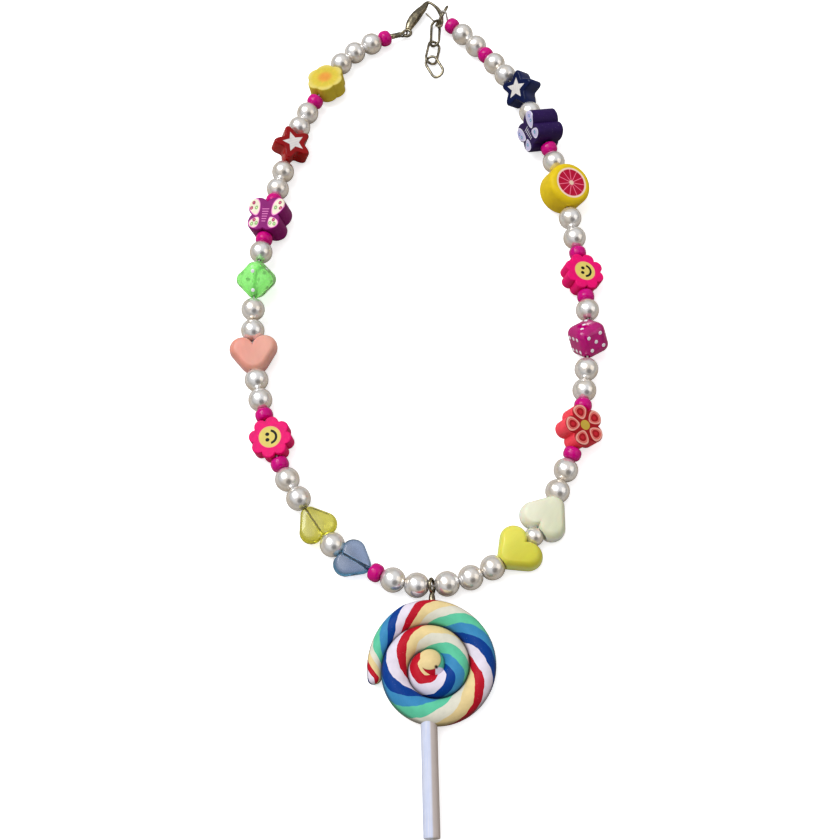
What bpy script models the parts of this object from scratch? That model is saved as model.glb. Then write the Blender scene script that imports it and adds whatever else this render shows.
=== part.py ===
"""Bead necklace with a lollipop pendant, laid flat with the shown side up.

The strand is walked bead by bead along its route: each bead spans from one contact point to the next, and the
string runs straight through a bead and bends only where two beads meet. Lengths below are in millimetres.
"""

import math

import bmesh
import bpy
from mathutils import Matrix, Vector

MM = 0.001
NAME = "lollipop_necklace"

# The model's origin lies on the floor under the middle of the whole lay, measured in the route's own numbers
ORIGIN = (-0.22, 18.66)

# Pearls, spacers, string
PEARL_D = 6.05
PEARL_SLOT = 5.82
SMALL_PEARL_D = 4.7
SMALL_PEARL_SLOT = 4.57
SPACER_D = 4.3
SPACER_SLOT = 3.13
RING_SLOT = 1.4
SLOPE = 0.15
STRING_END = 1.2
ROUTE_HEIGHT = 3.0
HEIGHT_SHIFT = 0.48
GAP = 0.3
STRING_D = 0.5
BORE_D = 1.1
WAIST_D = 2.3
PEARL_RINGS = (-58, -20, 20, 58)

# The string's route over the floor, from the jump ring down the right side, past the pendant and up the left.
# It is read off the photograph for beads at ROUTE_HEIGHT; a higher bead moves down by HEIGHT_SHIFT of the rest.
ROUTE = (
    (8.3, 128.9), (12.4, 124.7), (18.5, 117.4), (24.4, 108.7), (30.2, 96.4), (35.2, 83.9), (38.4, 69.5),
    (41.2, 54.0), (43.2, 36.5), (43.1, 23.5), (41.3, 8.0), (39.3, -3.5), (35.5, -14.0), (30.6, -26.0),
    (26.9, -31.6), (17.2, -38.9), (9.0, -42.3), (2.9, -43.3), (-3.4, -42.9), (-10.2, -40.2), (-21.0, -33.2),
    (-29.7, -20.8), (-34.5, -12.0), (-38.9, 1.0), (-41.6, 11.8), (-43.2, 28.0), (-42.5, 45.0), (-40.5, 60.0),
    (-37.6, 75.6), (-33.4, 91.8), (-29.4, 100.4), (-22.8, 113.6), (-17.0, 119.3), (-9.8, 123.4), (-5.4, 125.2),
)

# Charms: the length that each takes up on the string, how far its face is rolled to the side and pitched along the
# walk, in degrees, and how far its middle lies beside the string
CHARMS = {
    "star_blue": (9.7, 47, 0, 1.5),
    "butterfly_purple": (9.1, 72, 0, 0.0),
    "citrus_slice": (12.8, -19, 13, 0.7),
    "smiley_flower_right": (10.6, -15, 3, 0.0),
    "die_magenta": (11.6, 70, 0, 0.0),
    "flower_red": (10.5, -24, 0, 0.2),
    "heart_ivory": (8.0, 0, 0, 0.0),
    "heart_yellow": (7.7, 0, 0, 0.0),
    "heart_clear_blue": (8.2, 0, 0, 0.0),
    "heart_clear_yellow": (8.9, 0, 0, 0.0),
    "smiley_flower_left": (11.0, -7, -4, 0.0),
    "heart_salmon": (8.0, 0, 0, 0.0),
    "die_green": (11.8, 40, 0, 0.0),
    "butterfly_magenta": (9.6, -13, -6, 0.0),
    "star_red": (9.9, 19, -2, 0.0),
    "flower_yellow": (11.0, -12, 3, 0.0),
}

# The beads in order along the route; "pearls 2" is a run of two
STRAND = (
    "spacer", "pearls 2", "spacer", "pearls 2", "star_blue", "pearls 1", "butterfly_purple", "spacer", "pearls 1",
    "citrus_slice", "pearls 2", "spacer", "smiley_flower_right", "spacer", "pearls 1", "die_magenta", "pearls 2",
    "spacer", "flower_red", "spacer", "pearls 2", "heart_ivory", "small pearl", "heart_yellow", "pearls 3",
    "ring", "pearls 2", "spacer", "heart_clear_blue", "pearls 1", "heart_clear_yellow", "pearls 2", "spacer",
    "smiley_flower_left", "spacer", "pearls 2", "heart_salmon", "pearls 2", "die_green", "pearls 1", "spacer",
    "butterfly_magenta", "spacer", "pearls 2", "star_red", "pearls 2", "spacer", "flower_yellow", "pearls 3",
    "spacer",
)

# Pendant
ROPE_D = 5.94
TURN_PITCH = 6.1
HEAD_CENTRE = (2.79, -62.98)
HEAD_TOP_RADIUS = 13.13
HEAD_Z = 3.0
TAIL_ANGLE = 196
CORE_ANGLE = -488
ANGLE_STEP = 14
TAIL_D = 3.1
TAIL_FULL_ANGLE = 114
CORE_D = 7.2
CORE_TOP = 6.6
WEB_RADIUS = 10.3
WEB_THICKNESS = 3.0
STICK_D = 3.75
STICK_X = 1.95
STICK_LEAN = 0.62
STICK_TOP = -72.2
STICK_END = -100.4
EYE_OUTER_D = 4.2
EYE_WIRE_D = 0.85
EYE_NECK_D = 1.7
EYE_NECK_END = -49.0

# Clasp, jump ring and extension chain
WIRE_D = 0.8
LINK_WIRE_D = 0.76
LEVER_D = 0.5
LOOP_D = 1.7
RING_CENTRE = (6.39, 131.26, 3.36)
RING_NORMAL = (-0.86, 0.37, 0.35)
RING_RADIUS = 3.05
STRING_HOLD_ANGLE = 107
LINKS = (
    # the middles of the two ends, the roll about the long axis, and half the width
    ((4.67, 130.92, 1.75), (4.29, 121.87, 1.33), 34.8, 1.5),
    ((4.39, 123.25, 1.17), (2.97, 115.44, 1.16), -25.0, 1.7),
    ((2.54, 117.5, 1.14), (5.75, 110.9, 1.18), 24.5, 1.75),
)
CLAW = (
    # centre and radius, from the eye up the body, over the top and down the hook
    (-3.54, 127.77, 1.5, 0.85), (-2.79, 129.88, 1.59, 1.35), (-1.52, 132.13, 1.78, 1.5), (-0.17, 134.03, 1.99, 1.3),
    (1.0, 135.4, 2.19, 1.05), (1.65, 136.5, 2.29, 0.85), (2.15, 137.2, 2.36, 0.6), (2.6, 137.35, 2.42, 0.42),
    (3.3, 136.9, 2.58, 0.4), (4.25, 135.76, 2.82, 0.42), (5.17, 134.37, 3.05, 0.52), (5.83, 132.87, 3.23, 0.6),
    (6.28, 131.31, 3.36, 0.58), (6.43, 129.82, 3.44, 0.45), (6.46, 128.54, 3.42, 0.42), (6.05, 127.44, 3.44, 0.42),
    (5.12, 127.03, 3.26, 0.4),
)
LEVER = ((1.75, 133.15, 2.38), (2.88, 131.5, 2.67), (4.13, 129.58, 2.98))
CLASP_EYE = (-3.79, 126.51, 1.49)
CLASP_EYE_RADIUS = 1.15
CORD_LOOP_RADIUS = 1.05


def spot(x, y, z=0.0):
    """A place given in the route's numbers, in metres from the model's origin."""
    return Vector((x - ORIGIN[0], y - ORIGIN[1], z)) * MM


def collection(name):
    made = bpy.data.collections.new(name)
    bpy.context.scene.collection.children.link(made)
    return made


def material(name, colour, roughness, metallic=0.0):
    made = bpy.data.materials.new(name)
    made.use_nodes = True
    shader = made.node_tree.nodes["Principled BSDF"]
    shader.inputs["Base Color"].default_value = (*colour, 1.0)
    shader.inputs["Roughness"].default_value = roughness
    shader.inputs["Metallic"].default_value = metallic
    return made


def make_object(name, mesh, mat, pose=None):
    """Links a mesh as a finished part, with its material and smooth shading."""
    made = bpy.data.objects.new(name, mesh)
    if mat is not None:
        mesh.materials.clear()
        mesh.materials.append(mat)
    if pose is not None:
        made.matrix_world = pose
    PARTS.objects.link(made)
    mesh.shade_smooth()
    mesh.set_sharp_from_angle(angle=math.radians(40))
    return made


def make_helper(made):
    """Turns an object into a cutter or a piece to be joined, which is never rendered."""
    PARTS.objects.unlink(made)
    HELPERS.objects.link(made)
    made.hide_render = True
    made.display_type = "WIRE"
    return made


def tube_mesh(name, points, radii, bevel_resolution, cyclic=False):
    """A tube along a polyline, its radius given for each point, as a closed mesh."""
    curve = bpy.data.curves.new(name, "CURVE")
    curve.dimensions = "3D"
    curve.bevel_depth = 1.0
    curve.bevel_resolution = bevel_resolution
    curve.use_fill_caps = not cyclic
    spline = curve.splines.new("POLY")
    spline.points.add(len(points) - 1)
    for point, place, radius in zip(spline.points, points, radii):
        point.co = (*place, 1.0)
        point.radius = radius
    spline.use_cyclic_u = cyclic
    guide = bpy.data.objects.new(name, curve)
    bpy.context.scene.collection.objects.link(guide)
    graph = bpy.context.evaluated_depsgraph_get()
    mesh = bpy.data.meshes.new_from_object(guide.evaluated_get(graph))
    bpy.data.objects.remove(guide)
    bpy.data.curves.remove(curve)
    shape = bmesh.new()
    shape.from_mesh(mesh)
    bmesh.ops.remove_doubles(shape, verts=shape.verts, dist=1e-6)
    bmesh.ops.recalc_face_normals(shape, faces=shape.faces)
    shape.to_mesh(mesh)
    shape.free()
    mesh.name = name
    return mesh


def boolean(target, operation, other, solver="EXACT"):
    modifier = target.modifiers.new(operation.lower(), "BOOLEAN")
    modifier.operation = operation
    modifier.solver = solver
    modifier.object = other


def section_mesh(name, sections):
    """A closed solid through outlines of as many points each, given as pairs (height, points) in millimetres."""
    shape = bmesh.new()
    spoke = shape.verts.layers.int.new("spoke")
    face = shape.faces.new([shape.verts.new((x * MM, y * MM, sections[0][0] * MM)) for x, y in sections[0][1]])
    for number, vert in enumerate(face.verts):
        vert[spoke] = number
    for index, (height, points) in enumerate(sections[1:]):
        grown = bmesh.ops.extrude_face_region(shape, geom=[face])["geom"]
        if index:
            bmesh.ops.delete(shape, geom=[face], context="FACES_ONLY")
        face = next(part for part in grown if isinstance(part, bmesh.types.BMFace))
        for vert in face.verts:
            x, y = points[vert[spoke]]
            vert.co = (x * MM, y * MM, height * MM)
    bmesh.ops.recalc_face_normals(shape, faces=shape.faces)
    mesh = bpy.data.meshes.new(name)
    shape.to_mesh(mesh)
    shape.free()
    return mesh


def drawn_in(outline, inset):
    """The outline made smaller in proportion, by inset at its furthest point."""
    share = 1 - inset / max(math.hypot(x, y) for x, y in outline)
    return [(x * share, y * share) for x, y in outline]


def stacked_mesh(name, outline, levels):
    """A closed solid of one outline, drawn in by its own inset at each of the levels (height, inset)."""
    return section_mesh(name, [(height, drawn_in(outline, inset)) for height, inset in levels])


def polar_outline(reach, count, turn=0.0):
    """Points of a closed outline from its reach at each angle, counted from the charm's own up."""
    angles = [math.tau * k / count for k in range(count)]
    return [(reach(a) * math.cos(a + turn), reach(a) * math.sin(a + turn)) for a in angles]


def petal_reach(petals, centre, radius):
    """Reach of an outline made of equal round petals, whose centres lie on a circle."""

    def reach(angle):
        off = (angle + math.pi / petals) % (math.tau / petals) - math.pi / petals
        return centre * math.cos(off) + math.sqrt(radius**2 - (centre * math.sin(off)) ** 2)

    return reach


def star_reach(angle):
    return 4.15 + 1.05 * math.cos(5 * angle) + 0.1 * math.cos(10 * angle)


def butterfly_reach(angle):
    """Two large upper wings and two smaller lower ones, with a notch between each two."""
    off = abs(math.degrees((angle + math.pi) % math.tau - math.pi))
    if off < 92:
        share = (off - 46) / 46
        return 6.3 * (1 - (0.38 if share < 0 else 0.4) * abs(share) ** 1.6)
    share = (off - 134) / (46 if off > 134 else 42)
    return 5.6 * (1 - (0.24 if share > 0 else 0.325) * abs(share) ** 1.6)


def heart_outline(half_width, lobe_y, tip, lobe_radius, tip_radius):
    """Two lobe circles and a tip circle with their tangents, the tip pointing to -X and the notch to +X."""
    lobe_x = half_width - lobe_radius
    tip_y = tip_radius - tip
    apart = math.hypot(lobe_x, lobe_y - tip_y)
    tangent = math.atan2(tip_y - lobe_y, -lobe_x) + math.acos((lobe_radius - tip_radius) / apart)
    start = math.acos(-min(1.0, lobe_x / lobe_radius))
    right = []
    for k in range(7):
        angle = start + (tangent - start) * k / 6
        right.append((lobe_x + lobe_radius * math.cos(angle), lobe_y + lobe_radius * math.sin(angle)))
    for k in range(3):
        angle = tangent + (-math.pi / 2 - tangent) * k / 3
        right.append((tip_radius * math.cos(angle), tip_y + tip_radius * math.sin(angle)))
    whole = right + [(0.0, -tip)] + [(-x, y) for x, y in reversed(right[1:])]
    return [(y, -x) for x, y in reversed(whole)]


def cane_levels(thickness, rounding):
    half = thickness / 2
    return ((-half, rounding), (rounding - half, 0.0), (half - rounding, 0.0), (half, rounding))


def pillow_levels(thickness):
    half = thickness / 2
    return ((-half, 1.7), (-0.6 * half, 0.3), (0.0, 0.0), (0.6 * half, 0.3), (half, 1.7))


def cane(thickness, reach, count, rounding=0.4, turn=0.0, stretch=(1.0, 1.0), shift=0.0):
    """A slice of a patterned cane: one outline all through, with its edges rounded.

    shift moves the outline along the string, for one with a point at one end and a notch at the other.
    """

    def build(name):
        outline = [(x * stretch[0] + shift, y * stretch[1]) for x, y in polar_outline(reach, count, turn)]
        return stacked_mesh(name, outline, cane_levels(thickness, rounding))

    return build


def clear_of(point, centre, radius):
    """The point, pushed straight out of the circle around a centre on the string's line if it lies in it."""
    away = Vector((point[0] - centre, point[1]))
    if away.length >= radius:
        return point
    away = away.normalized() * radius
    return (centre + away.x, away.y)


def heart(width, lobe_end, tip_end, lobe_radius, tip_radius, thickness, beads, tip_first, lean=0.0):
    """A puffy heart drilled from its notch to its tip, hollowed to lie close against the round beads there.

    beads gives the diameter of the bead at the notch and of the one at the tip with how far each one's centre is
    from the heart's. tip_first is for a heart whose tip comes before its notch along the route. lean turns the
    heart on the string, in degrees.
    """

    def build(name):
        outline = heart_outline(width / 2, lobe_end - lobe_radius, tip_end, lobe_radius, tip_radius)
        cos, sin = math.cos(math.radians(lean)), math.sin(math.radians(lean))
        outline = [(x * cos - y * sin, x * sin + y * cos) for x, y in outline]
        sections = []
        for level, inset in pillow_levels(thickness):
            ring = drawn_in(outline, inset)
            for diameter, centre in beads:
                room = math.sqrt(max((diameter / 2 + 1.6 * GAP) ** 2 - level**2, 0.0))
                ring = [clear_of(point, centre, room) for point in ring]
            if not tip_first:
                ring = [(-x, -y) for x, y in ring]
            sections.append((level, ring))
        return section_mesh(name, sections)

    return build


def citrus(name):
    """A rounded drum, drilled across."""
    half = 4.1
    levels = ((-half, 1.3), (0.35 - half, 0.75), (1.6 - half, 0.1), (half - 1.6, 0.1), (half - 0.35, 0.75), (half, 1.3))
    return stacked_mesh(name, polar_outline(lambda angle: 6.0, 18), levels)


def die(name):
    """A cube with rounded edges, standing on one corner along the string."""
    side = 8.0
    shape = bmesh.new()
    bmesh.ops.create_cube(shape, size=side * MM)
    bmesh.ops.bevel(
        shape, geom=shape.edges[:], offset=1.5 * MM, offset_type="OFFSET", segments=2, profile=0.5, affect="EDGES"
    )
    corner = Vector((1.0, 1.0, 1.0)).normalized()
    turn = corner.rotation_difference(Vector((1.0, 0.0, 0.0)))
    bmesh.ops.rotate(shape, cent=(0.0, 0.0, 0.0), matrix=turn.to_matrix(), verts=shape.verts)
    mesh = bpy.data.meshes.new(name)
    shape.to_mesh(mesh)
    shape.free()
    return mesh


SHAPES = {
    "star_blue": (cane(5.4, star_reach, 30, 0.7, 0.0, (1.0, 1.0), -0.6), 4.6, 2.7),
    "butterfly_purple": (cane(8.2, butterfly_reach, 32, turn=math.pi, stretch=(0.92, 1.0)), 5.05, 4.1),
    "citrus_slice": (citrus, 5.1, 4.1),
    "smiley_flower_right": (cane(4.6, petal_reach(8, 3.7, 1.7), 40, turn=math.radians(22.5)), 5.3, 2.3),
    "die_magenta": (die, 5.2, 0.0),
    "flower_red": (cane(5.6, petal_reach(5, 3.2, 2.2), 40, 0.4, 0.0, (1.02, 1.02), -0.35), 5.3, 2.8),
    "heart_ivory": (heart(12.2, 5.3, 5.4, 3.1, 2.7, 5.6, ((SMALL_PEARL_D, 6.28), (PEARL_D, -6.91)), True, -12), 6.0, 2.85),
    "heart_yellow": (heart(12.4, 5.1, 5.0, 3.15, 2.5, 5.6, ((SMALL_PEARL_D, 6.13), (PEARL_D, -6.76)), False), 6.0, 2.8),
    "heart_clear_blue": (heart(9.7, 4.6, 3.95, 2.6, 0.9, 3.4, ((PEARL_D, 7.01),), True), 4.9, 1.7),
    "heart_clear_yellow": (heart(9.7, 4.8, 4.3, 2.6, 0.9, 3.4, ((PEARL_D, 7.36),), False), 4.9, 1.7),
    "smiley_flower_left": (cane(4.6, petal_reach(8, 3.7, 1.7), 40, turn=math.radians(22.5)), 5.3, 2.3),
    "heart_salmon": (heart(12.3, 5.0, 5.0, 3.1, 2.8, 5.8, ((PEARL_D, 6.91), (PEARL_D, -6.91)), True), 6.1, 2.9),
    "die_green": (die, 5.56, 0.0),
    "butterfly_magenta": (cane(6.6, butterfly_reach, 32), 5.1, 3.3),
    "star_red": (cane(5.4, star_reach, 30, 0.7, math.pi, (1.0, 1.0), 0.62), 5.0, 2.7),
    "flower_yellow": (cane(5.0, petal_reach(6, 2.6, 2.7), 36, turn=math.radians(30)), 5.3, 2.5),
}


def rest_height(kind):
    """Height of the string above the floor when such a bead lies on the floor by itself."""
    if kind in SHAPES:
        _, reach, half = SHAPES[kind]
        _, roll, pitch, _ = CHARMS[kind]
        if kind.startswith("die"):
            return reach
        level = math.cos(math.radians(roll)) * math.cos(math.radians(pitch))
        return reach * math.sqrt(1 - level**2) + half * level
    return {"pearl": PEARL_D / 2, "small pearl": SMALL_PEARL_D / 2, "spacer": SPACER_D / 2, "ring": PEARL_D / 2}[kind]


def slots():
    """Every bead of the strand as (kind, length on the string), with runs of pearls taken apart."""
    found = []
    for item in STRAND:
        kind, _, count = item.partition(" ")
        if kind == "pearls":
            found += [("pearl", PEARL_SLOT)] * int(count)
        elif item == "small pearl":
            found.append((item, SMALL_PEARL_SLOT))
        elif item == "spacer":
            found.append((item, SPACER_SLOT))
        elif item == "ring":
            found.append((item, RING_SLOT))
        else:
            found.append((item, CHARMS[item][0]))
    return found


def smooth_route(per_span=24):
    """The route as a dense polyline through its points."""
    ends = [ROUTE[0], *ROUTE, ROUTE[-1]]
    dense = []
    for a, b, c, d in zip(ends, ends[1:], ends[2:], ends[3:]):
        for k in range(per_span):
            t = k / per_span
            dense.append(
                [
                    0.5 * (2 * q + (r - p) * t + (2 * p - 5 * q + 4 * r - s) * t**2 + (3 * q - p - 3 * r + s) * t**3)
                    for p, q, r, s in zip(a, b, c, d)
                ]
            )
    dense.append(list(ROUTE[-1]))
    return dense


def route_spot(place, level):
    """A place on the route for a bead at this height, moved so that it still shows where the photograph has it."""
    return spot(place[0], place[1] - HEIGHT_SHIFT * (level - ROUTE_HEIGHT), level)


def contact_points():
    """Where the string leaves one bead and enters the next: one more point than there are beads.

    A bead that lies high lifts its neighbours, so that the string never climbs by more than SLOPE.
    """
    beads = slots()
    heights = [rest_height(kind) for kind, _ in beads]
    levels = [heights[0] + 0.6]
    levels += [max(pair) for pair in zip(heights, heights[1:])]
    levels.append(heights[-1])
    lengths = [length for _, length in beads]
    for k, length in enumerate(lengths):
        levels[k + 1] = max(levels[k + 1], levels[k] - SLOPE * length)
    for k in reversed(range(len(lengths))):
        levels[k] = max(levels[k], levels[k + 1] - SLOPE * lengths[k])
    dense = smooth_route()
    found = [route_spot(dense[0], levels[0])]
    index = 1
    for (_, length), level in zip(beads, levels[1:]):
        while True:
            far = route_spot(dense[index], level)
            if (far - found[-1]).length >= length * MM or index == len(dense) - 1:
                break
            index += 1
        near = route_spot(dense[index - 1], level)
        low, high = 0.0, 1.0
        for _ in range(24):
            middle = (low + high) / 2
            if (near.lerp(far, middle) - found[-1]).length < length * MM:
                low = middle
            else:
                high = middle
        found.append(near.lerp(far, high))
    return found


def bead_pose(start, end, roll, pitch, aside):
    """Frame in the middle of a bead: X along the string, Z up, then rolled about the string and pitched along it."""
    along = (end - start).normalized()
    side = Vector((0.0, 0.0, 1.0)).cross(along).normalized()
    up = along.cross(side)
    frame = Matrix((along, side, up)).transposed().to_4x4()
    turn = Matrix.Rotation(math.radians(roll), 4, "X") @ Matrix.Rotation(math.radians(pitch), 4, "Y")
    return Matrix.Translation((start + end) / 2 + side * aside * MM) @ frame @ turn


def pearl_run_mesh(name, contacts, diameter):
    """One pearl or a few that touch, as a tube along the string whose radius follows the pearls' circles."""
    radius = diameter / 2 * MM
    points, radii = [], []
    for start, end in zip(contacts, contacts[1:]):
        middle = (start + end) / 2
        along = (end - start).normalized()
        if points:
            points.append(start)
            radii.append(WAIST_D / 2 * MM)
        for angle in PEARL_RINGS:
            points.append(middle + along * radius * math.sin(math.radians(angle)))
            radii.append(radius * math.cos(math.radians(angle)))
    half_gap = GAP / 2 * MM
    first = (contacts[1] - contacts[0]).normalized()
    last = (contacts[-1] - contacts[-2]).normalized()
    points = [contacts[0] + first * half_gap, *points, contacts[-1] - last * half_gap]
    radii = [WAIST_D / 2 * MM, *radii, WAIST_D / 2 * MM]
    return tube_mesh(name, points, radii, 3)


def spacer_mesh(name, start, end):
    """A short round bead with bulging sides."""
    along = (end - start).normalized()
    middle = (start + end) / 2
    half = (SPACER_SLOT - GAP) / 2
    profile = ((-half, 0.66), (-0.72 * half, 0.9), (0.0, 1.0), (0.72 * half, 0.9), (half, 0.66))
    points = [middle + along * x * MM for x, _ in profile]
    radii = [share * SPACER_D / 2 * MM for _, share in profile]
    return tube_mesh(name, points, radii, 2)


def build_string(contacts, loop):
    """The string from its loop to inside the cord end, and its wider twin that drills the beads."""
    heading = (spot(*CLASP_EYE) - contacts[-1]).normalized()
    end = contacts[-1] + heading * STRING_END * MM
    line = [*loop, *contacts, end]
    make_object("string", tube_mesh("string", line, [STRING_D / 2 * MM] * len(line), 0), MATERIALS["string"])
    before = contacts[0] + (contacts[0] - contacts[1]).normalized() * MM
    after = contacts[-1] + (contacts[-1] - contacts[-2]).normalized() * MM
    bore_line = [before, *contacts, after]
    bore_mesh = tube_mesh("string_bore", bore_line, [BORE_D / 2 * MM] * len(bore_line), 1)
    return make_helper(make_object("string_bore", bore_mesh, None))


def build_beads(contacts, bore):
    """Every bead of the strand at its place, drilled by the string's bore; gives back the ring's contact pair."""
    counts = {"pearls": 0, "spacer": 0}
    place = 0
    ring = None
    for item in STRAND:
        kind, _, count = item.partition(" ")
        if kind == "pearls":
            counts["pearls"] += 1
            name = f"pearls_{counts['pearls']:02d}"
            run = contacts[place : place + int(count) + 1]
            made = make_object(name, pearl_run_mesh(name, run, PEARL_D), MATERIALS["pearl"])
            place += int(count)
        elif item == "small pearl":
            made = make_object(
                "pearl_small",
                pearl_run_mesh("pearl_small", contacts[place : place + 2], SMALL_PEARL_D),
                MATERIALS["pearl"],
            )
            place += 1
        elif item == "spacer":
            counts["spacer"] += 1
            name = f"spacer_{counts['spacer']:02d}"
            made = make_object(name, spacer_mesh(name, contacts[place], contacts[place + 1]), MATERIALS["spacer"])
            place += 1
        elif item == "ring":
            ring = (contacts[place], contacts[place + 1])
            place += 1
            continue
        else:
            pose = bead_pose(contacts[place], contacts[place + 1], *CHARMS[item][1:])
            made = make_object(item, SHAPES[item][0](item), MATERIALS[item], pose)
            place += 1
        boolean(made, "DIFFERENCE", bore)
    return ring


def rope_path():
    """The rope's centres and radii from the tail's tip, round and in to the core."""
    points, radii = [], []
    steps = (TAIL_ANGLE - CORE_ANGLE) // ANGLE_STEP
    for k in range(steps + 1):
        angle = TAIL_ANGLE - k * ANGLE_STEP
        turn_radius = HEAD_TOP_RADIUS - TURN_PITCH * (90 - min(angle, 90)) / 360
        thick = ROPE_D
        if angle > TAIL_FULL_ANGLE:
            share = (angle - TAIL_FULL_ANGLE) / (TAIL_ANGLE - TAIL_FULL_ANGLE)
            thick = ROPE_D + (TAIL_D - ROPE_D) * (1 - (1 - share) ** 1.6)
        if angle > 90:
            inner = HEAD_TOP_RADIUS - TURN_PITCH * (90 - (angle - 360)) / 360 + TURN_PITCH / 2
            blend = min(1.0, (angle - 90) / 50)
            turn_radius = (1 - blend) * HEAD_TOP_RADIUS + blend * (inner + thick / 2)
        radian = math.radians(angle)
        height = max(HEAD_Z - (ROPE_D - thick) / 4, thick / 2)
        x = HEAD_CENTRE[0] + turn_radius * math.cos(radian)
        y = HEAD_CENTRE[1] + turn_radius * math.sin(radian)
        points.append(spot(x, y, height))
        radii.append(thick / 2 * MM)
    tip = points[0] + (points[0] - points[1]).normalized() * 0.9 * MM
    return [tip, *points], [0.55 * radii[0], *radii]


def build_pendant(ring):
    """Spiral head, stick and eye pin; the pin's ring hangs on the string between two pearls and swings about it."""
    points, radii = rope_path()
    head = make_object("head", tube_mesh("head", points, radii, 3), MATERIALS["head"])

    web_shape = bmesh.new()
    bmesh.ops.create_cone(
        web_shape, cap_ends=True, segments=28, radius1=WEB_RADIUS * MM, radius2=WEB_RADIUS * MM, depth=WEB_THICKNESS * MM
    )
    web_mesh = bpy.data.meshes.new("web")
    web_shape.to_mesh(web_mesh)
    web_shape.free()
    centre = spot(HEAD_CENTRE[0] + 1.5, HEAD_CENTRE[1] + 1.5, HEAD_Z)
    web = make_helper(make_object("web", web_mesh, None, Matrix.Translation(centre)))

    core_shape = bmesh.new()
    bmesh.ops.create_uvsphere(core_shape, u_segments=14, v_segments=8, radius=CORE_D / 2 * MM)
    low = 0.5
    bmesh.ops.scale(core_shape, vec=(0.95, 1.0, (CORE_TOP - low) / CORE_D), verts=core_shape.verts)
    core_mesh = bpy.data.meshes.new("core")
    core_shape.to_mesh(core_mesh)
    core_shape.free()
    core_centre = spot(HEAD_CENTRE[0] - 0.5, HEAD_CENTRE[1] + 0.7, (CORE_TOP + low) / 2)
    core = make_helper(make_object("core", core_mesh, None, Matrix.Translation(core_centre)))

    socket_line = [spot(STICK_X, STICK_TOP + GAP, HEAD_Z), spot(STICK_X + STICK_LEAN * 0.4, STICK_TOP - 9, HEAD_Z)]
    socket_mesh = tube_mesh("stick_socket", socket_line, [(STICK_D / 2 + GAP) * MM] * 2, 4)
    socket = make_helper(make_object("stick_socket", socket_mesh, None))

    ring_centre = (ring[0] + ring[1]) / 2
    head_top = spot(0, HEAD_CENTRE[1] + HEAD_TOP_RADIUS + ROPE_D / 2).y
    pin_end = Vector((ring_centre.x, spot(0, EYE_NECK_END).y, HEAD_Z * MM))
    pin_hole_line = [pin_end + Vector((0.0, -GAP * MM, 0.0)), Vector((ring_centre.x, head_top + MM, HEAD_Z * MM))]
    pin_hole_mesh = tube_mesh("pin_hole", pin_hole_line, [(EYE_NECK_D / 2 + GAP) * MM] * 2, 2)
    pin_hole = make_helper(make_object("pin_hole", pin_hole_mesh, None))

    # EXACT loses the rope in this union
    boolean(head, "UNION", web, "MANIFOLD")
    boolean(head, "UNION", core, "MANIFOLD")
    boolean(head, "DIFFERENCE", socket, "MANIFOLD")
    boolean(head, "DIFFERENCE", pin_hole, "MANIFOLD")

    stick_line = [spot(STICK_X, STICK_TOP, HEAD_Z), spot(STICK_X + STICK_LEAN, STICK_END, HEAD_Z)]
    stick = make_object("stick", tube_mesh("stick", stick_line, [STICK_D / 2 * MM] * 2, 5), MATERIALS["stick"])

    radius = (EYE_OUTER_D - EYE_WIRE_D) / 2 * MM
    turns = [math.tau * k / 16 for k in range(16)]
    loop = [ring_centre + Vector((0.0, math.cos(a), math.sin(a))) * radius for a in turns]
    eye_mesh = tube_mesh("eye_pin", loop, [EYE_WIRE_D / 2 * MM] * 16, 1, cyclic=True)
    eye = make_object("eye_pin", eye_mesh, MATERIALS["metal"])
    neck_top = ring_centre + Vector((0.0, -radius, 0.0))
    neck_mesh = tube_mesh("eye_neck", [neck_top, pin_end], [EYE_NECK_D / 2 * MM] * 2, 2)
    neck = make_helper(make_object("eye_neck", neck_mesh, None))
    boolean(eye, "UNION", neck)

    hinge = bpy.data.objects.new("pendant_hinge", None)
    hinge.location = ring_centre
    PARTS.objects.link(hinge)
    for piece in (head, stick, eye):
        piece.parent = hinge
        piece.matrix_parent_inverse = Matrix.Translation(-ring_centre)


def round_wire(name, centre, first, second, radius, thickness, count=16):
    """A closed ring of wire in the plane of two unit directions."""
    turns = [math.tau * k / count for k in range(count)]
    points = [centre + (first * math.cos(a) + second * math.sin(a)) * radius * MM for a in turns]
    return tube_mesh(name, points, [thickness / 2 * MM] * count, 1, cyclic=True)


def link_points(upper, lower, roll, half_width, per_end=6):
    """Points of a long oval link; its width direction starts level and is then rolled about its axis."""
    upper, lower = spot(*upper), spot(*lower)
    along = (lower - upper).normalized()
    level = along.cross(Vector((0.0, 0.0, 1.0))).normalized()
    width = Matrix.Rotation(math.radians(roll), 3, along) @ level
    half_length = (lower - upper).length / 2 / MM
    points = []
    for sign in (1, -1):
        for k in range(per_end + 1):
            angle = math.pi * k / per_end
            lengthwise = sign * (half_length - half_width + half_width * math.sin(angle))
            sideways = sign * half_width * math.cos(angle)
            points.append((upper + lower) / 2 + (along * lengthwise + width * sideways) * MM)
    return points


def jump_ring_frame():
    """The ring's centre, its normal, and its two in-plane directions: level, and up."""
    normal = Vector(RING_NORMAL).normalized()
    level = Vector((normal.y, -normal.x, 0.0)).normalized()
    up = level.cross(normal)
    return spot(*RING_CENTRE), normal, level, up


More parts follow.
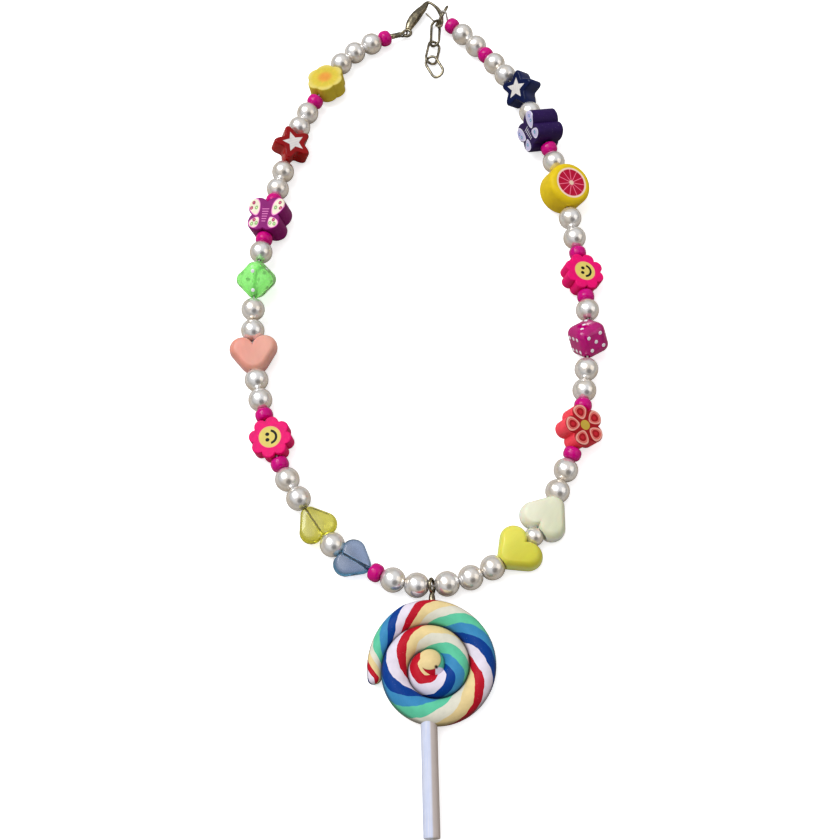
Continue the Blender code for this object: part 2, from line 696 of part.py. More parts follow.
def string_loop(start):
    """The string's end: once round the jump ring's wire, then down to the first bead."""
    centre, normal, level, up = jump_ring_frame()
    hold = math.radians(STRING_HOLD_ANGLE)
    outward = level * math.cos(hold) + up * math.sin(hold)
    wire = centre + outward * RING_RADIUS * MM
    loop = []
    for degrees in range(290, 30, -40):
        angle = math.radians(degrees)
        loop.append(wire + (outward * math.sin(angle) - normal * math.cos(angle)) * LOOP_D / 2 * MM)
    return loop


def build_findings(contacts):
    """Cord end, clasp with its lever, jump ring and the extension chain."""
    metal = MATERIALS["metal"]
    upright = Vector((0.0, 0.0, 1.0))
    centre, _, level, up = jump_ring_frame()
    make_object("jump_ring", round_wire("jump_ring", centre, level, up, RING_RADIUS, WIRE_D, 18), metal)

    for number, (upper, lower, roll, half_width) in enumerate(LINKS, 1):
        points = link_points(upper, lower, roll, half_width)
        name = f"chain_link_{number}"
        make_object(name, tube_mesh(name, points, [LINK_WIRE_D / 2 * MM] * len(points), 1, cyclic=True), metal)

    # Clasp: a claw that swells in its body, thins over the top and ends in the hook, with an eye behind
    claw_points = [spot(x, y, z) for x, y, z, _ in CLAW]
    clasp = make_object("clasp", tube_mesh("clasp", claw_points, [r * MM for *_, r in CLAW], 3), metal)
    eye = spot(*CLASP_EYE)
    eye_mesh = round_wire(
        "clasp_eye", eye, Vector((1.0, 0.0, 0.1)).normalized(), Vector((0.0, 1.0, 0.0)), CLASP_EYE_RADIUS, 0.84, 12
    )
    boolean(clasp, "UNION", make_helper(make_object("clasp_eye", eye_mesh, None)))
    lever_points = [spot(*place) for place in LEVER]
    make_object("clasp_lever", tube_mesh("clasp_lever", lever_points, [LEVER_D / 2 * MM] * 3, 1), metal)

    # Cord end: a crimped tube over the string's last millimetres, with an upright loop through the clasp's eye
    last = contacts[-1]
    heading = (eye - last).normalized()
    loop_centre = eye - heading * (CLASP_EYE_RADIUS + CORD_LOOP_RADIUS) / 2 * MM
    tube_start = last + heading * GAP * MM
    tube_end = loop_centre - heading * (CORD_LOOP_RADIUS - 0.15) * MM
    cord_end = make_object("cord_end", tube_mesh("cord_end", [tube_start, tube_end], [0.8 * MM] * 2, 3), metal)
    rising = heading.cross(upright.cross(heading)).normalized()
    loop_mesh = round_wire("cord_end_loop", loop_centre, heading, rising, CORD_LOOP_RADIUS, 0.56, 12)
    boolean(cord_end, "UNION", make_helper(make_object("cord_end_loop", loop_mesh, None)))
    bore_line = [last - heading * MM, last + heading * (STRING_END + GAP) * MM]
    bore_mesh = tube_mesh("cord_end_bore", bore_line, [BORE_D / 2 * MM] * 2, 2)
    boolean(cord_end, "DIFFERENCE", make_helper(make_object("cord_end_bore", bore_mesh, None)))


for old in list(bpy.data.objects):
    bpy.data.objects.remove(old)

PARTS = collection(NAME)
HELPERS = collection(NAME + "_helpers")
MATERIALS = {
    "string": material("string", (0.75, 0.74, 0.7), 0.4),
    "pearl": material("pearl", (0.72, 0.72, 0.7), 0.2, 0.1),
    "spacer": material("spacer", (0.6, 0.01, 0.2), 0.2),
    "metal": material("metal", (0.45, 0.4, 0.3), 0.3, 1.0),
    "head": material("head", (0.1, 0.3, 0.6), 0.4),
    "stick": material("stick", (0.7, 0.72, 0.8), 0.4),
    "star_blue": material("star_blue", (0.0, 0.02, 0.12), 0.1),
    "butterfly_purple": material("butterfly_purple", (0.03, 0.01, 0.09), 0.4),
    "citrus_slice": material("citrus_slice", (0.75, 0.5, 0.02), 0.4),
    "smiley_flower_right": material("smiley_flower_right", (0.8, 0.01, 0.15), 0.4),
    "smiley_flower_left": material("smiley_flower_left", (0.8, 0.01, 0.15), 0.4),
    "die_magenta": material("die_magenta", (0.5, 0.0, 0.2), 0.1),
    "flower_red": material("flower_red", (0.7, 0.08, 0.1), 0.4),
    "heart_ivory": material("heart_ivory", (0.7, 0.72, 0.6), 0.3),
    "heart_yellow": material("heart_yellow", (0.65, 0.6, 0.05), 0.3),
    "heart_clear_blue": material("heart_clear_blue", (0.15, 0.25, 0.35), 0.05),
    "heart_clear_yellow": material("heart_clear_yellow", (0.45, 0.42, 0.05), 0.05),
    "heart_salmon": material("heart_salmon", (0.75, 0.3, 0.23), 0.3),
    "die_green": material("die_green", (0.2, 0.7, 0.15), 0.1),
    "butterfly_magenta": material("butterfly_magenta", (0.25, 0.0, 0.15), 0.4),
    "star_red": material("star_red", (0.5, 0.0, 0.0), 0.1),
    "flower_yellow": material("flower_yellow", (0.7, 0.55, 0.05), 0.4),
}

CONTACTS = contact_points()
BORE = build_string(CONTACTS, string_loop(CONTACTS[0]))
RING = build_beads(CONTACTS, BORE)
build_pendant(RING)
build_findings(CONTACTS)
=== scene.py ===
import math

import bmesh
import bpy
from mathutils import Matrix, Vector


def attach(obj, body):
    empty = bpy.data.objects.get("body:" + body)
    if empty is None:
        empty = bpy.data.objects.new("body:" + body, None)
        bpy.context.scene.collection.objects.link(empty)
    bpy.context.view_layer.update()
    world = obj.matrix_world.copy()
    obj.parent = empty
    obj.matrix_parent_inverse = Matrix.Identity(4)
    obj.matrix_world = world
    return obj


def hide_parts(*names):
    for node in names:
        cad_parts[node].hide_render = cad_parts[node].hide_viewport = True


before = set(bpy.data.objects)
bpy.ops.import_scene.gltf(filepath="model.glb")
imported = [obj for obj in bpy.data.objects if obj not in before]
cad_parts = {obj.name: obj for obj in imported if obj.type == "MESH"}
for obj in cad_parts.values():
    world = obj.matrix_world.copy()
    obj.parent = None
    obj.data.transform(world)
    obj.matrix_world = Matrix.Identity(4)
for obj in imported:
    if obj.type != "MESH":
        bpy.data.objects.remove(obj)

bl_info = {
    "name": "Lollipop bead necklace",
    "version": (1, 0, 0),
    "blender": (4, 5, 0),
    "location": "3D View > Sidebar > Necklace",
    "description": "Dresses the necklace's solids with detailed beads, charms, lollipop and findings",
    "category": "Object",
}

MM = 0.001

# The strand's walk, in millimetres, as the solids have it
ORIGIN = (-0.22, 18.66)
PEARL_SLOT = 5.82
SMALL_PEARL_SLOT = 4.57
SPACER_SLOT = 3.13
RING_SLOT = 1.4
SLOPE = 0.15
STRING_END = 1.2
BEAD_GAP = 0.02
ROUTE_HEIGHT = 3.0
HEIGHT_SHIFT = 0.48
ROUTE = (
    (8.3, 128.9), (12.4, 124.7), (18.5, 117.4), (24.4, 108.7), (30.2, 96.4), (35.2, 83.9), (38.4, 69.5),
    (41.2, 54.0), (43.2, 36.5), (43.1, 23.5), (41.3, 8.0), (39.3, -3.5), (35.5, -14.0), (30.6, -26.0),
    (26.9, -31.6), (17.2, -38.9), (9.0, -42.3), (2.9, -43.3), (-3.4, -42.9), (-10.2, -40.2), (-21.0, -33.2),
    (-29.7, -20.8), (-34.5, -12.0), (-38.9, 1.0), (-41.6, 11.8), (-43.2, 28.0), (-42.5, 45.0),
    (-40.5, 60.0), (-37.6, 75.6), (-33.4, 91.8), (-29.4, 100.4), (-22.8, 113.6), (-17.0, 119.3),
    (-9.8, 123.4), (-5.4, 125.2),
)
STRAND = (
    "spacer", "pearls 2", "spacer", "pearls 2", "star_blue", "pearls 1", "butterfly_purple", "spacer",
    "pearls 1", "citrus_slice", "pearls 2", "spacer", "smiley_flower_right", "spacer", "pearls 1",
    "die_magenta", "pearls 2", "spacer", "flower_red", "spacer", "pearls 2", "heart_ivory", "small pearl",
    "heart_yellow", "pearls 3", "ring", "pearls 2", "spacer", "heart_clear_blue", "pearls 1",
    "heart_clear_yellow", "pearls 2", "spacer", "smiley_flower_left", "spacer", "pearls 2", "heart_salmon",
    "pearls 2", "die_green", "pearls 1", "spacer", "butterfly_magenta", "spacer", "pearls 2", "star_red",
    "pearls 2", "spacer", "flower_yellow", "pearls 3", "spacer",
)
# Charms: length on the string, roll, pitch, offset to the side, reach across the string, half thickness
CHARMS = {
    "star_blue": (9.7, 47, 0, 1.5, 4.6, 2.7),
    "butterfly_purple": (9.1, 72, 0, 0.0, 5.05, 4.1),
    "citrus_slice": (12.8, -19, 13, 0.7, 5.1, 4.1),
    "smiley_flower_right": (10.6, -15, 3, 0.0, 5.3, 2.3),
    "die_magenta": (11.6, 70, 0, 0.0, 5.2, 0.0),
    "flower_red": (10.5, -24, 0, 0.2, 5.3, 2.8),
    "heart_ivory": (8.0, 0, 0, 0.0, 6.0, 2.85),
    "heart_yellow": (7.7, 0, 0, 0.0, 6.0, 2.8),
    "heart_clear_blue": (8.2, 0, 0, 0.0, 4.9, 1.7),
    "heart_clear_yellow": (8.9, 0, 0, 0.0, 4.9, 1.7),
    "smiley_flower_left": (11.0, -7, -4, 0.0, 5.3, 2.3),
    "heart_salmon": (8.0, 0, 0, 0.0, 6.1, 2.9),
    "die_green": (11.8, 40, 0, 0.0, 5.56, 0.0),
    "butterfly_magenta": (9.6, -13, -6, 0.0, 5.1, 3.3),
    "star_red": (9.9, 19, -2, 0.0, 5.0, 2.7),
    "flower_yellow": (11.0, -12, 3, 0.0, 5.3, 2.5),
}

# Hearts: width, lobe's and tip's reach, lobe's and tip's radius, the round beads at notch and tip as
# (diameter, place), whether the tip comes first on the string, lean
HEARTS = {
    "heart_ivory": (12.2, 5.3, 5.4, 3.3, 2.7, ((4.7, 6.28), (6.05, -6.91)), True, -12),
    "heart_yellow": (12.4, 5.1, 5.0, 3.35, 2.5, ((4.7, 6.13), (6.05, -6.76)), False, 0),
    "heart_clear_blue": (9.7, 4.6, 3.95, 2.9, 2.2, ((6.05, 7.01),), True, 0),
    "heart_clear_yellow": (9.7, 4.8, 4.3, 2.9, 2.2, ((6.05, 7.36),), False, 0),
    "heart_salmon": (12.3, 5.0, 5.0, 3.1, 4.0, ((6.05, 6.91), (6.05, -6.91)), True, 0),
}

# Dice
DIE_SIDE = 8.0
DIE_ROUNDING = 2.1
PIP_SPACING = 1.75
PIP_RISE = 0.09
PIPS = {
    1: ((0, 0),),
    2: ((-1, -1), (1, 1)),
    3: ((-1, -1), (0, 0), (1, 1)),
    4: ((-1, -1), (-1, 1), (1, -1), (1, 1)),
    5: ((-1, -1), (-1, 1), (0, 0), (1, -1), (1, 1)),
    6: ((-1, -1), (-1, 0), (-1, 1), (1, -1), (1, 0), (1, 1)),
}

# Pendant: the rope's sections stand every few degrees and are a little wider than high
ROPE_D = 5.94
ROPE_SPOKES = 44
ROPE_STEP = 3
ROPE_SWELL = 1.035
TURN_PITCH = 6.1
HEAD_CENTRE = (2.79, -62.98)
HEAD_TOP_RADIUS = 13.13
HEAD_Z = 3.0
TAIL_ANGLE = 196
TAIL_SHOWN = 190
CORE_ANGLE = -590
TAIL_D = 3.1
TAIL_FULL_ANGLE = 114
CORE_D = 7.2
CORE_TOP = 6.6
CORE_SHIFT = (-0.5, 0.7)
STICK_X = 1.95
STICK_LEAN = 0.62
STICK_TOP = -72.2
STICK_END = -100.4
EYE_OUTER_D = 4.2
EYE_WIRE_D = 0.85
EYE_NECK_D = 1.7
EYE_NECK_END = -49.0
EYE_TURN = -18
# How many times the stripes have gone round the rope at each angle of the spiral
TWIST = (
    (196, -0.80), (161, -0.21), (134.5, 0.07), (95, 0.5), (59.5, 0.79), (22.5, 1.07), (-22.5, 1.36),
    (-46, 1.5), (-98.5, 1.79), (-143, 2.07), (-211, 2.36), (-243.5, 2.5), (-337, 2.79), (-395, 3.07),
    (-488, 3.4), (-590, 3.5),
)

# Clasp, jump ring and extension chain
WIRE_D = 0.8
LINK_WIRE_D = 0.76
LEVER_D = 0.42
LOOP_D = 1.7
RING_CENTRE = (6.39, 131.26, 3.36)
RING_NORMAL = (-0.86, 0.37, 0.35)
RING_RADIUS = 3.05
STRING_HOLD_ANGLE = 107
LINKS = (
    ((4.67, 130.92, 1.75), (4.29, 121.87, 1.33), 34.8, 1.5),
    ((4.39, 123.25, 1.17), (2.97, 115.44, 1.16), -25.0, 1.7),
    ((2.54, 117.5, 1.14), (5.75, 110.9, 1.18), 24.5, 1.75),
)
CLAW = (
    (-3.54, 127.77, 1.5, 0.85), (-2.79, 129.88, 1.59, 1.35), (-1.52, 132.13, 1.78, 1.5),
    (-0.17, 134.03, 1.99, 1.3), (1.0, 135.4, 2.19, 1.05), (1.65, 136.5, 2.29, 0.85),
    (2.15, 137.2, 2.36, 0.6), (2.6, 137.35, 2.42, 0.42), (3.3, 136.9, 2.58, 0.4),
    (4.25, 135.76, 2.82, 0.42), (5.17, 134.37, 3.05, 0.52), (5.83, 132.87, 3.23, 0.6),
    (6.28, 131.31, 3.36, 0.58), (6.43, 129.82, 3.44, 0.45), (6.46, 128.54, 3.42, 0.42),
    (6.05, 127.44, 3.44, 0.42), (5.12, 127.03, 3.26, 0.4),
)
LEVER = ((1.75, 133.15, 2.38), (2.88, 131.5, 2.67), (4.13, 129.58, 2.98))
CLASP_EYE = (-3.79, 126.51, 1.49)
CLASP_EYE_RADIUS = 1.15
CLASP_EYE_WIRE_D = 0.84
CORD_LOOP_RADIUS = 1.05
CORD_LOOP_WIRE_D = 0.56


def linear(red, green, blue):
    """A colour picked on a screen, as the linear values that a shader takes."""
    parts = [value / 255 for value in (red, green, blue)]
    return tuple(part / 12.92 if part <= 0.04 else ((part + 0.055) / 1.055) ** 2.4 for part in parts)


def tint(name, description, *screen):
    """A colour to set, given as it looks on a screen."""
    return bpy.props.FloatVectorProperty(
        name=name, description=description, subtype="COLOR", size=3, min=0.0, max=1.0,
        default=linear(*screen)
    )


def length(name, description, millimetres):
    """A length to set, given in millimetres."""
    return bpy.props.FloatProperty(
        name=name, description=description, unit="LENGTH", min=0.0, precision=5, default=millimetres * MM
    )


def power(name, description, watts):
    """A light's power to set."""
    return bpy.props.FloatProperty(name=name, description=description, unit="POWER", min=0.0, default=watts)


class NecklaceSizes(bpy.types.PropertyGroup):
    """Sizes of the necklace's pieces and of the stage."""

    pearl: length("Pearl", "Diameter of a pearl", 6.05)
    small_pearl: length("Small pearl", "Diameter of the small pearl between the two big hearts", 4.7)
    spacer: length("Spacer", "Diameter of a pink spacer bead", 4.5)
    string: length("String", "Diameter of the string", 0.5)
    bore: length("Bore", "Diameter of the hole through a bead", 1.1)
    stick: length("Stick", "Diameter of the lollipop's stick", 3.75)
    pip: length("Pip", "Diameter of a painted pip on the dice", 1.0)
    floor: length("Floor", "Side of the floor", 3000.0)
    lens: bpy.props.FloatProperty(
        name="Lens", description="Focal length of the camera", unit="CAMERA", default=55.0
    )
    elevation: bpy.props.FloatProperty(
        name="Elevation", description="Height of the camera above the floor's plane", subtype="ANGLE",
        default=math.radians(64.5)
    )
    distance: length("Distance", "From the camera to the point that it looks at", 320.75)
    key: power("Key light", "Power of the cool light, upper left", 1.5)
    fill: power("Fill light", "Power of the warm light, right", 0.35)


class NecklaceColours(bpy.types.PropertyGroup):
    """Colours of the necklace's finishes."""

    pearl: tint("Pearl", "Body of the pearls", 244, 242, 240)
    spacer: tint("Spacer", "Pink of the spacers", 200, 0, 122)
    string: tint("String", "Clear string", 225, 222, 214)
    metal: tint("Metal", "Aged pale brass of the findings", 158, 146, 116)
    petal_pink: tint("Smiley flower", "Pink of the two smiley flowers", 238, 0, 110)
    smiley: tint("Smiley face", "Yellow of the round face", 222, 202, 104)
    ink: tint("Ink", "Black of the eyes and the smile", 12, 12, 14)
    lemon: tint("Yellow flower", "Petals of the yellow flower", 208, 186, 62)
    lemon_heart: tint("Yellow flower's middle", "Orange middle of the yellow flower", 224, 150, 60)
    coral: tint("Coral", "Sides of the red flower", 255, 84, 96)
    peach: tint("Peach", "Outer ring of a red flower's petal", 230, 160, 144)
    petal_red: tint("Petal red", "Inner ring of a red flower's petal", 204, 60, 66)
    deep_red: tint("Deep red", "Lines of the red flower", 160, 6, 20)
    rind: tint("Rind", "Yellow side of the citrus", 236, 204, 22)
    pith: tint("Pith", "Ring and middle of the citrus", 244, 212, 192)
    flesh: tint("Flesh", "Segments of the citrus", 172, 0, 40)
    star_red: tint("Red star", "Deep red body", 172, 0, 2)
    star_blue: tint("Blue star", "Dark blue body", 0, 24, 84)
    inlay: tint("Star inlay", "Pale star in the two stars", 226, 220, 214)
    magenta: tint("Magenta butterfly", "Body of the left butterfly", 142, 0, 112)
    violet: tint("Purple butterfly", "Body of the right butterfly", 42, 16, 80)
    cream: tint("Wing cream", "Patches on the left butterfly's wings", 232, 224, 198)
    lavender: tint("Wing lavender", "Patches on the right butterfly's wings", 198, 192, 224)
    wing_line: tint("Wing line", "Outline of the patches", 236, 132, 196)
    bud: tint("Bud", "Dark pink dots on the wings", 158, 48, 84)
    leaf: tint("Leaf", "Green dots on the wings", 140, 172, 108)
    die_green: tint("Green die", "Clear green", 158, 246, 134)
    die_magenta: tint("Magenta die", "Clear magenta", 200, 0, 126)
    ivory: tint("Ivory heart", "Body of the ivory heart", 228, 226, 202)
    lime: tint("Yellow heart", "Body of the yellow heart", 226, 220, 92)
    lime_edge: tint("Yellow heart's edge", "Thin edges of the yellow heart", 228, 240, 140)
    salmon: tint("Salmon heart", "Body of the salmon heart", 232, 172, 154)
    clear_yellow: tint("Clear yellow", "Glass of the yellow heart", 196, 190, 88)
    clear_blue: tint("Clear blue", "Glass of the blue heart", 136, 150, 176)
    royal: tint("Royal blue", "Stripe of the lollipop", 0, 58, 138)
    white: tint("White", "Stripe of the lollipop", 226, 216, 228)
    red: tint("Red", "Stripe of the lollipop", 186, 14, 38)
    custard: tint("Cream", "Stripe of the lollipop", 228, 204, 146)
    chalk: tint("Off-white", "Stripe of the lollipop", 220, 216, 198)
    mint: tint("Mint", "Stripe of the lollipop", 94, 196, 156)
    sky: tint("Light blue", "Stripe of the lollipop", 58, 136, 184)
    stick: tint("Stick", "White of the stick", 202, 209, 232)
    floor: tint("Floor", "Pale floor", 246, 246, 246)


# ---------- shapes, in millimetres ----------


def around(count):
    """Angles once round a circle."""
    return [math.tau * k / count for k in range(count)]


def spot(x, y, z=0.0):
    """A point of the strand's own plan, moved to the frame's middle."""
    return Vector((x - ORIGIN[0], y - ORIGIN[1], z))


def curve_through(points, per_span):
    """A smooth line through the points, as a dense list."""
    ends = [points[0], *points, points[-1]]
    dense = []
    for a, b, c, d in zip(ends, ends[1:], ends[2:], ends[3:]):
        for k in range(per_span):
            t = k / per_span
            point = []
            for p, q, r, s in zip(a, b, c, d):
                bend = (2 * p - 5 * q + 4 * r - s) * t**2 + (3 * q - p - 3 * r + s) * t**3
                point.append(0.5 * (2 * q + (r - p) * t + bend))
            dense.append(point)
    dense.append(list(points[-1]))
    return dense


def rest_height(kind):
    """Height of the string above the floor when such a bead lies on the floor by itself."""
    if kind in CHARMS:
        _, roll, pitch, _, reach, half = CHARMS[kind]
        if kind.startswith("die"):
            return reach
        level = math.cos(math.radians(roll)) * math.cos(math.radians(pitch))
        return reach * math.sqrt(1 - level**2) + half * level
    return {"pearl": 3.025, "small pearl": 2.35, "spacer": 2.15, "ring": 3.025}[kind]


def bead_list():
    """Every bead of the strand as (kind, length on the string), with runs of pearls taken apart."""
    lengths = {"small pearl": SMALL_PEARL_SLOT, "spacer": SPACER_SLOT, "ring": RING_SLOT}
    found = []
    for item in STRAND:
        kind, _, count = item.partition(" ")
        if kind == "pearls":
            found += [("pearl", PEARL_SLOT)] * int(count)
        else:
            found.append((item, lengths[item] if item in lengths else CHARMS[item][0]))
    return found


def contact_points():
    """Where the string leaves one bead and enters the next: one more point than there are beads."""
    beads = bead_list()
    heights = [rest_height(kind) for kind, _ in beads]
    lengths = [size for _, size in beads]
    levels = [heights[0] + 0.6] + [max(pair) for pair in zip(heights, heights[1:])] + [heights[-1]]
    for k, size in enumerate(lengths):
        levels[k + 1] = max(levels[k + 1], levels[k] - SLOPE * size)
    for k in reversed(range(len(lengths))):
        levels[k] = max(levels[k], levels[k + 1] - SLOPE * lengths[k])
    dense = curve_through(ROUTE, 24)

    def place(k, level):
        return spot(dense[k][0], dense[k][1] - HEIGHT_SHIFT * (level - ROUTE_HEIGHT), level)

    found = [place(0, levels[0])]
    index = 1
    for size, level in zip(lengths, levels[1:]):
        while index < len(dense) - 1 and (place(index, level) - found[-1]).length < size:
            index += 1
        near, far = place(index - 1, level), place(index, level)
        low, high = 0.0, 1.0
        for _ in range(24):
            middle = (low + high) / 2
            if (near.lerp(far, middle) - found[-1]).length < size:
                low = middle
            else:
                high = middle
        found.append(near.lerp(far, high))
    return found


def bead_pose(start, end, roll=0.0, pitch=0.0, aside=0.0):
    """Frame in a bead's middle: X along the string and Z up, then rolled and pitched, in degrees."""
    along = (end - start).normalized()
    side = Vector((0.0, 0.0, 1.0)).cross(along).normalized()
    stand = Matrix((along, side, along.cross(side))).transposed().to_4x4()
    turn = Matrix.Rotation(math.radians(roll), 4, "X") @ Matrix.Rotation(math.radians(pitch), 4, "Y")
    return Matrix.Translation((start + end) / 2 + side * aside) @ stand @ turn


def strand_places():
    """Each bead or run of pearls in order, as (item, number among its kind, its contact points)."""
    contacts = contact_points()
    counts = {}
    place = 0
    found = []
    for item in STRAND:
        kind, _, count = item.partition(" ")
        counts[kind] = counts.get(kind, 0) + 1
        steps = int(count) if kind == "pearls" else 1
        label = item if item == "small pearl" else kind
        found.append((label, counts[kind], contacts[place : place + steps + 1]))
        place += steps
    return found


def loft(rings, closed=False, shape=None):
    """A skin through rings of points: the first is drawn, and each next one is extruded and moved."""
    shape = shape or bmesh.new()
    spoke = shape.verts.layers.int.get("spoke") or shape.verts.layers.int.new("spoke")
    row = shape.verts.layers.int.get("row") or shape.verts.layers.int.new("row")
    first = [shape.verts.new(point) for point in rings[0]]
    for number, vert in enumerate(first):
        vert[spoke] = number
    edges = [shape.edges.new(pair) for pair in zip(first, first[1:] + first[:1])]
    start = list(edges)
    for level, ring in enumerate(rings[1:], 1):
        grown = bmesh.ops.extrude_edge_only(shape, edges=edges)["geom"]
        fresh = {part for part in grown if isinstance(part, bmesh.types.BMVert)}
        edges = [part for part in grown if isinstance(part, bmesh.types.BMEdge)]
        edges = [edge for edge in edges if set(edge.verts) <= fresh]
        for vert in fresh:
            vert.co = ring[vert[spoke]]
            vert[row] = level
    if closed:
        bmesh.ops.bridge_loops(shape, edges=start + edges)
    else:
        bmesh.ops.edgeloop_fill(shape, edges=start)
        bmesh.ops.edgeloop_fill(shape, edges=edges)
    bmesh.ops.recalc_face_normals(shape, faces=shape.faces[:])
    return shape


def turned(profile, steps=40):
    """A bead turned about the X axis from a closed profile of (x, radius)."""
    shape = bmesh.new()
    verts = [shape.verts.new((x, 0.0, r)) for x, r in profile]
    edges = [shape.edges.new(pair) for pair in zip(verts, verts[1:] + verts[:1])]
    bmesh.ops.spin(
        shape, geom=verts + edges, cent=(0, 0, 0), axis=(1, 0, 0), dvec=(0, 0, 0), angle=math.tau,
        steps=steps, use_merge=True, use_duplicate=False
    )
    bmesh.ops.remove_doubles(shape, verts=shape.verts[:], dist=1e-5)
    bmesh.ops.recalc_face_normals(shape, faces=shape.faces[:])
    return shape


def line_frames(points, closed=False):
    """Frames along a line that turn as little as they can, each with Z along the line."""
    count = len(points)
    tangents = []
    for k in range(count):
        before = points[k - 1] if closed or k else points[0]
        after = points[(k + 1) % count] if closed or k < count - 1 else points[-1]
        tangents.append((after - before).normalized())
    side = tangents[0].orthogonal().normalized()
    frames = []
    for tangent in tangents:
        side = (side - tangent * side.dot(tangent)).normalized()
        frames.append((side, tangent.cross(side), tangent))
    if closed:
        last, first = frames[-1][0], frames[0][0]
        first = (first - tangents[-1] * first.dot(tangents[-1])).normalized()
        off = math.atan2(first.cross(last).dot(tangents[-1]), first.dot(last))
        frames = [
            tuple(Matrix.Rotation(-off * k / count, 3, t) @ v for v in (a, b)) + (t,)
            for k, (a, b, t) in enumerate(frames)
        ]
    return frames


def tube(points, radii, spokes=16, closed=False, shape=None):
    """A round wire or tube along a line; radii is one number, or a list with one for each point."""
    turns = around(spokes)
    if not isinstance(radii, list):
        radii = [radii] * len(points)
    rings = []
    for point, radius, (side, other, _) in zip(points, radii, line_frames(points, closed)):
        rings.append([point + (side * math.cos(a) + other * math.sin(a)) * radius for a in turns])
    return loft(rings, closed, shape)


def ring_line(centre, first, second, radius, count):
    """Points once round a circle that the two directions span."""
    return [centre + (first * math.cos(a) + second * math.sin(a)) * radius for a in around(count)]


def drilled(shape, turn, diameter):
    """Cuts the string's hole through a charm; turn is the string's frame as the charm sees it."""
    made = []
    cutter = bmesh.new()
    bmesh.ops.create_cone(
        cutter, cap_ends=True, segments=28, radius1=diameter / 2, radius2=diameter / 2, depth=40.0,
        matrix=turn @ Matrix.Rotation(math.pi / 2, 4, "Y")
    )
    for name, form in (("blank", shape), ("drill", cutter)):
        mesh = bpy.data.meshes.new(name)
        form.to_mesh(mesh)
        form.free()
        made.append(bpy.data.objects.new(name, mesh))
        bpy.context.scene.collection.objects.link(made[-1])
    cut = made[0].modifiers.new("hole", "BOOLEAN")
    cut.operation = "DIFFERENCE"
    cut.solver = "EXACT"
    cut.object = made[1]
    graph = bpy.context.evaluated_depsgraph_get()
    mesh = bpy.data.meshes.new_from_object(made[0].evaluated_get(graph))
    result = bmesh.new()
    result.from_mesh(mesh)
    bpy.data.meshes.remove(mesh)
    for used in made:
        mesh = used.data
        bpy.data.objects.remove(used)
        bpy.data.meshes.remove(mesh)
    return result


def polar_outline(reach, count, turn=0.0):
    """Points of an outline whose reach from the middle is a function of the angle."""
    return [(reach(a) * math.cos(a + turn), reach(a) * math.sin(a + turn)) for a in around(count)]


def petal_reach(petals, centre, radius):
    """A flower's outline: circles of the radius, their centres all round the middle."""

    def reach(angle):
        off = (angle + math.pi / petals) % (math.tau / petals) - math.pi / petals
        return centre * math.cos(off) + math.sqrt(radius**2 - (centre * math.sin(off)) ** 2)

    return reach


def star_reach(angle):
    """A soft five-pointed star."""
    return 4.15 + 1.05 * math.cos(5 * angle) + 0.1 * math.cos(10 * angle)


def butterfly_reach(angle):
    """An upper and a lower wing on each side; each falls off on both sides of its own middle."""
    off = abs(math.degrees((angle + math.pi) % math.tau - math.pi))
    if off < 92:
        share = (off - 46) / 46
        return 6.3 * (1 - (0.38 if share < 0 else 0.4) * abs(share) ** 1.6)
    share = (off - 134) / (46 if off > 134 else 42)
    return 5.6 * (1 - (0.24 if share > 0 else 0.325) * abs(share) ** 1.6)


def slab(outline, half, rounding, steps=5):
    """A cut slice: straight sides, rounded rims and flat faces."""
    reach = max(math.hypot(x, y) for x, y in outline)
    levels = []
    for k in range(steps + 1):
        angle = math.pi / 2 * k / steps
        levels.append((half - rounding * (1 - math.sin(angle)), rounding * (1 - math.cos(angle))))
    levels += [(half, rounding + 0.25), (half, reach * 0.5)]
    levels = [(-z, inset) for z, inset in reversed(levels)] + levels
    rings = []
    for z, inset in levels:
        share = 1 - inset / reach
        rings.append([Vector((x * share, y * share, z)) for x, y in outline])
    return loft(rings)


def heart_outline(half_width, lobe_y, tip, lobe_radius, tip_radius):
    """Two lobe circles and a tip circle with their tangents, the tip pointing to -X and the notch to +X."""
    lobe_x = half_width - lobe_radius
    tip_y = tip_radius - tip
    apart = math.hypot(lobe_x, lobe_y - tip_y)
    tangent = math.atan2(tip_y - lobe_y, -lobe_x) + math.acos((lobe_radius - tip_radius) / apart)
    start = math.acos(-min(1.0, lobe_x / lobe_radius))
    right = []
    for k in range(49):
        angle = start + (tangent - start) * k / 48
        right.append((lobe_x + lobe_radius * math.cos(angle), lobe_y + lobe_radius * math.sin(angle)))
    straight = right[-1]
    end = (tip_radius * math.cos(tangent), tip_y + tip_radius * math.sin(tangent))
    for k in range(1, 12):
        right.append(tuple(p + (q - p) * k / 12 for p, q in zip(straight, end)))
    for k in range(12):
        angle = tangent + (-math.pi / 2 - tangent) * k / 12
        right.append((tip_radius * math.cos(angle), tip_y + tip_radius * math.sin(angle)))
    whole = right + [(0.0, -tip)] + [(-x, y) for x, y in reversed(right[1:])]
    return [(y, -x) for x, y in reversed(whole)]


def clear_of(point, centre, radius):
    """The point, or where it lies in the circle around a centre on the string's line, pushed out of it."""
    away = Vector((point[0] - centre, point[1]))
    if away.length >= radius:
        return point
    away = away.normalized() * radius
    return (centre + away.x, away.y)


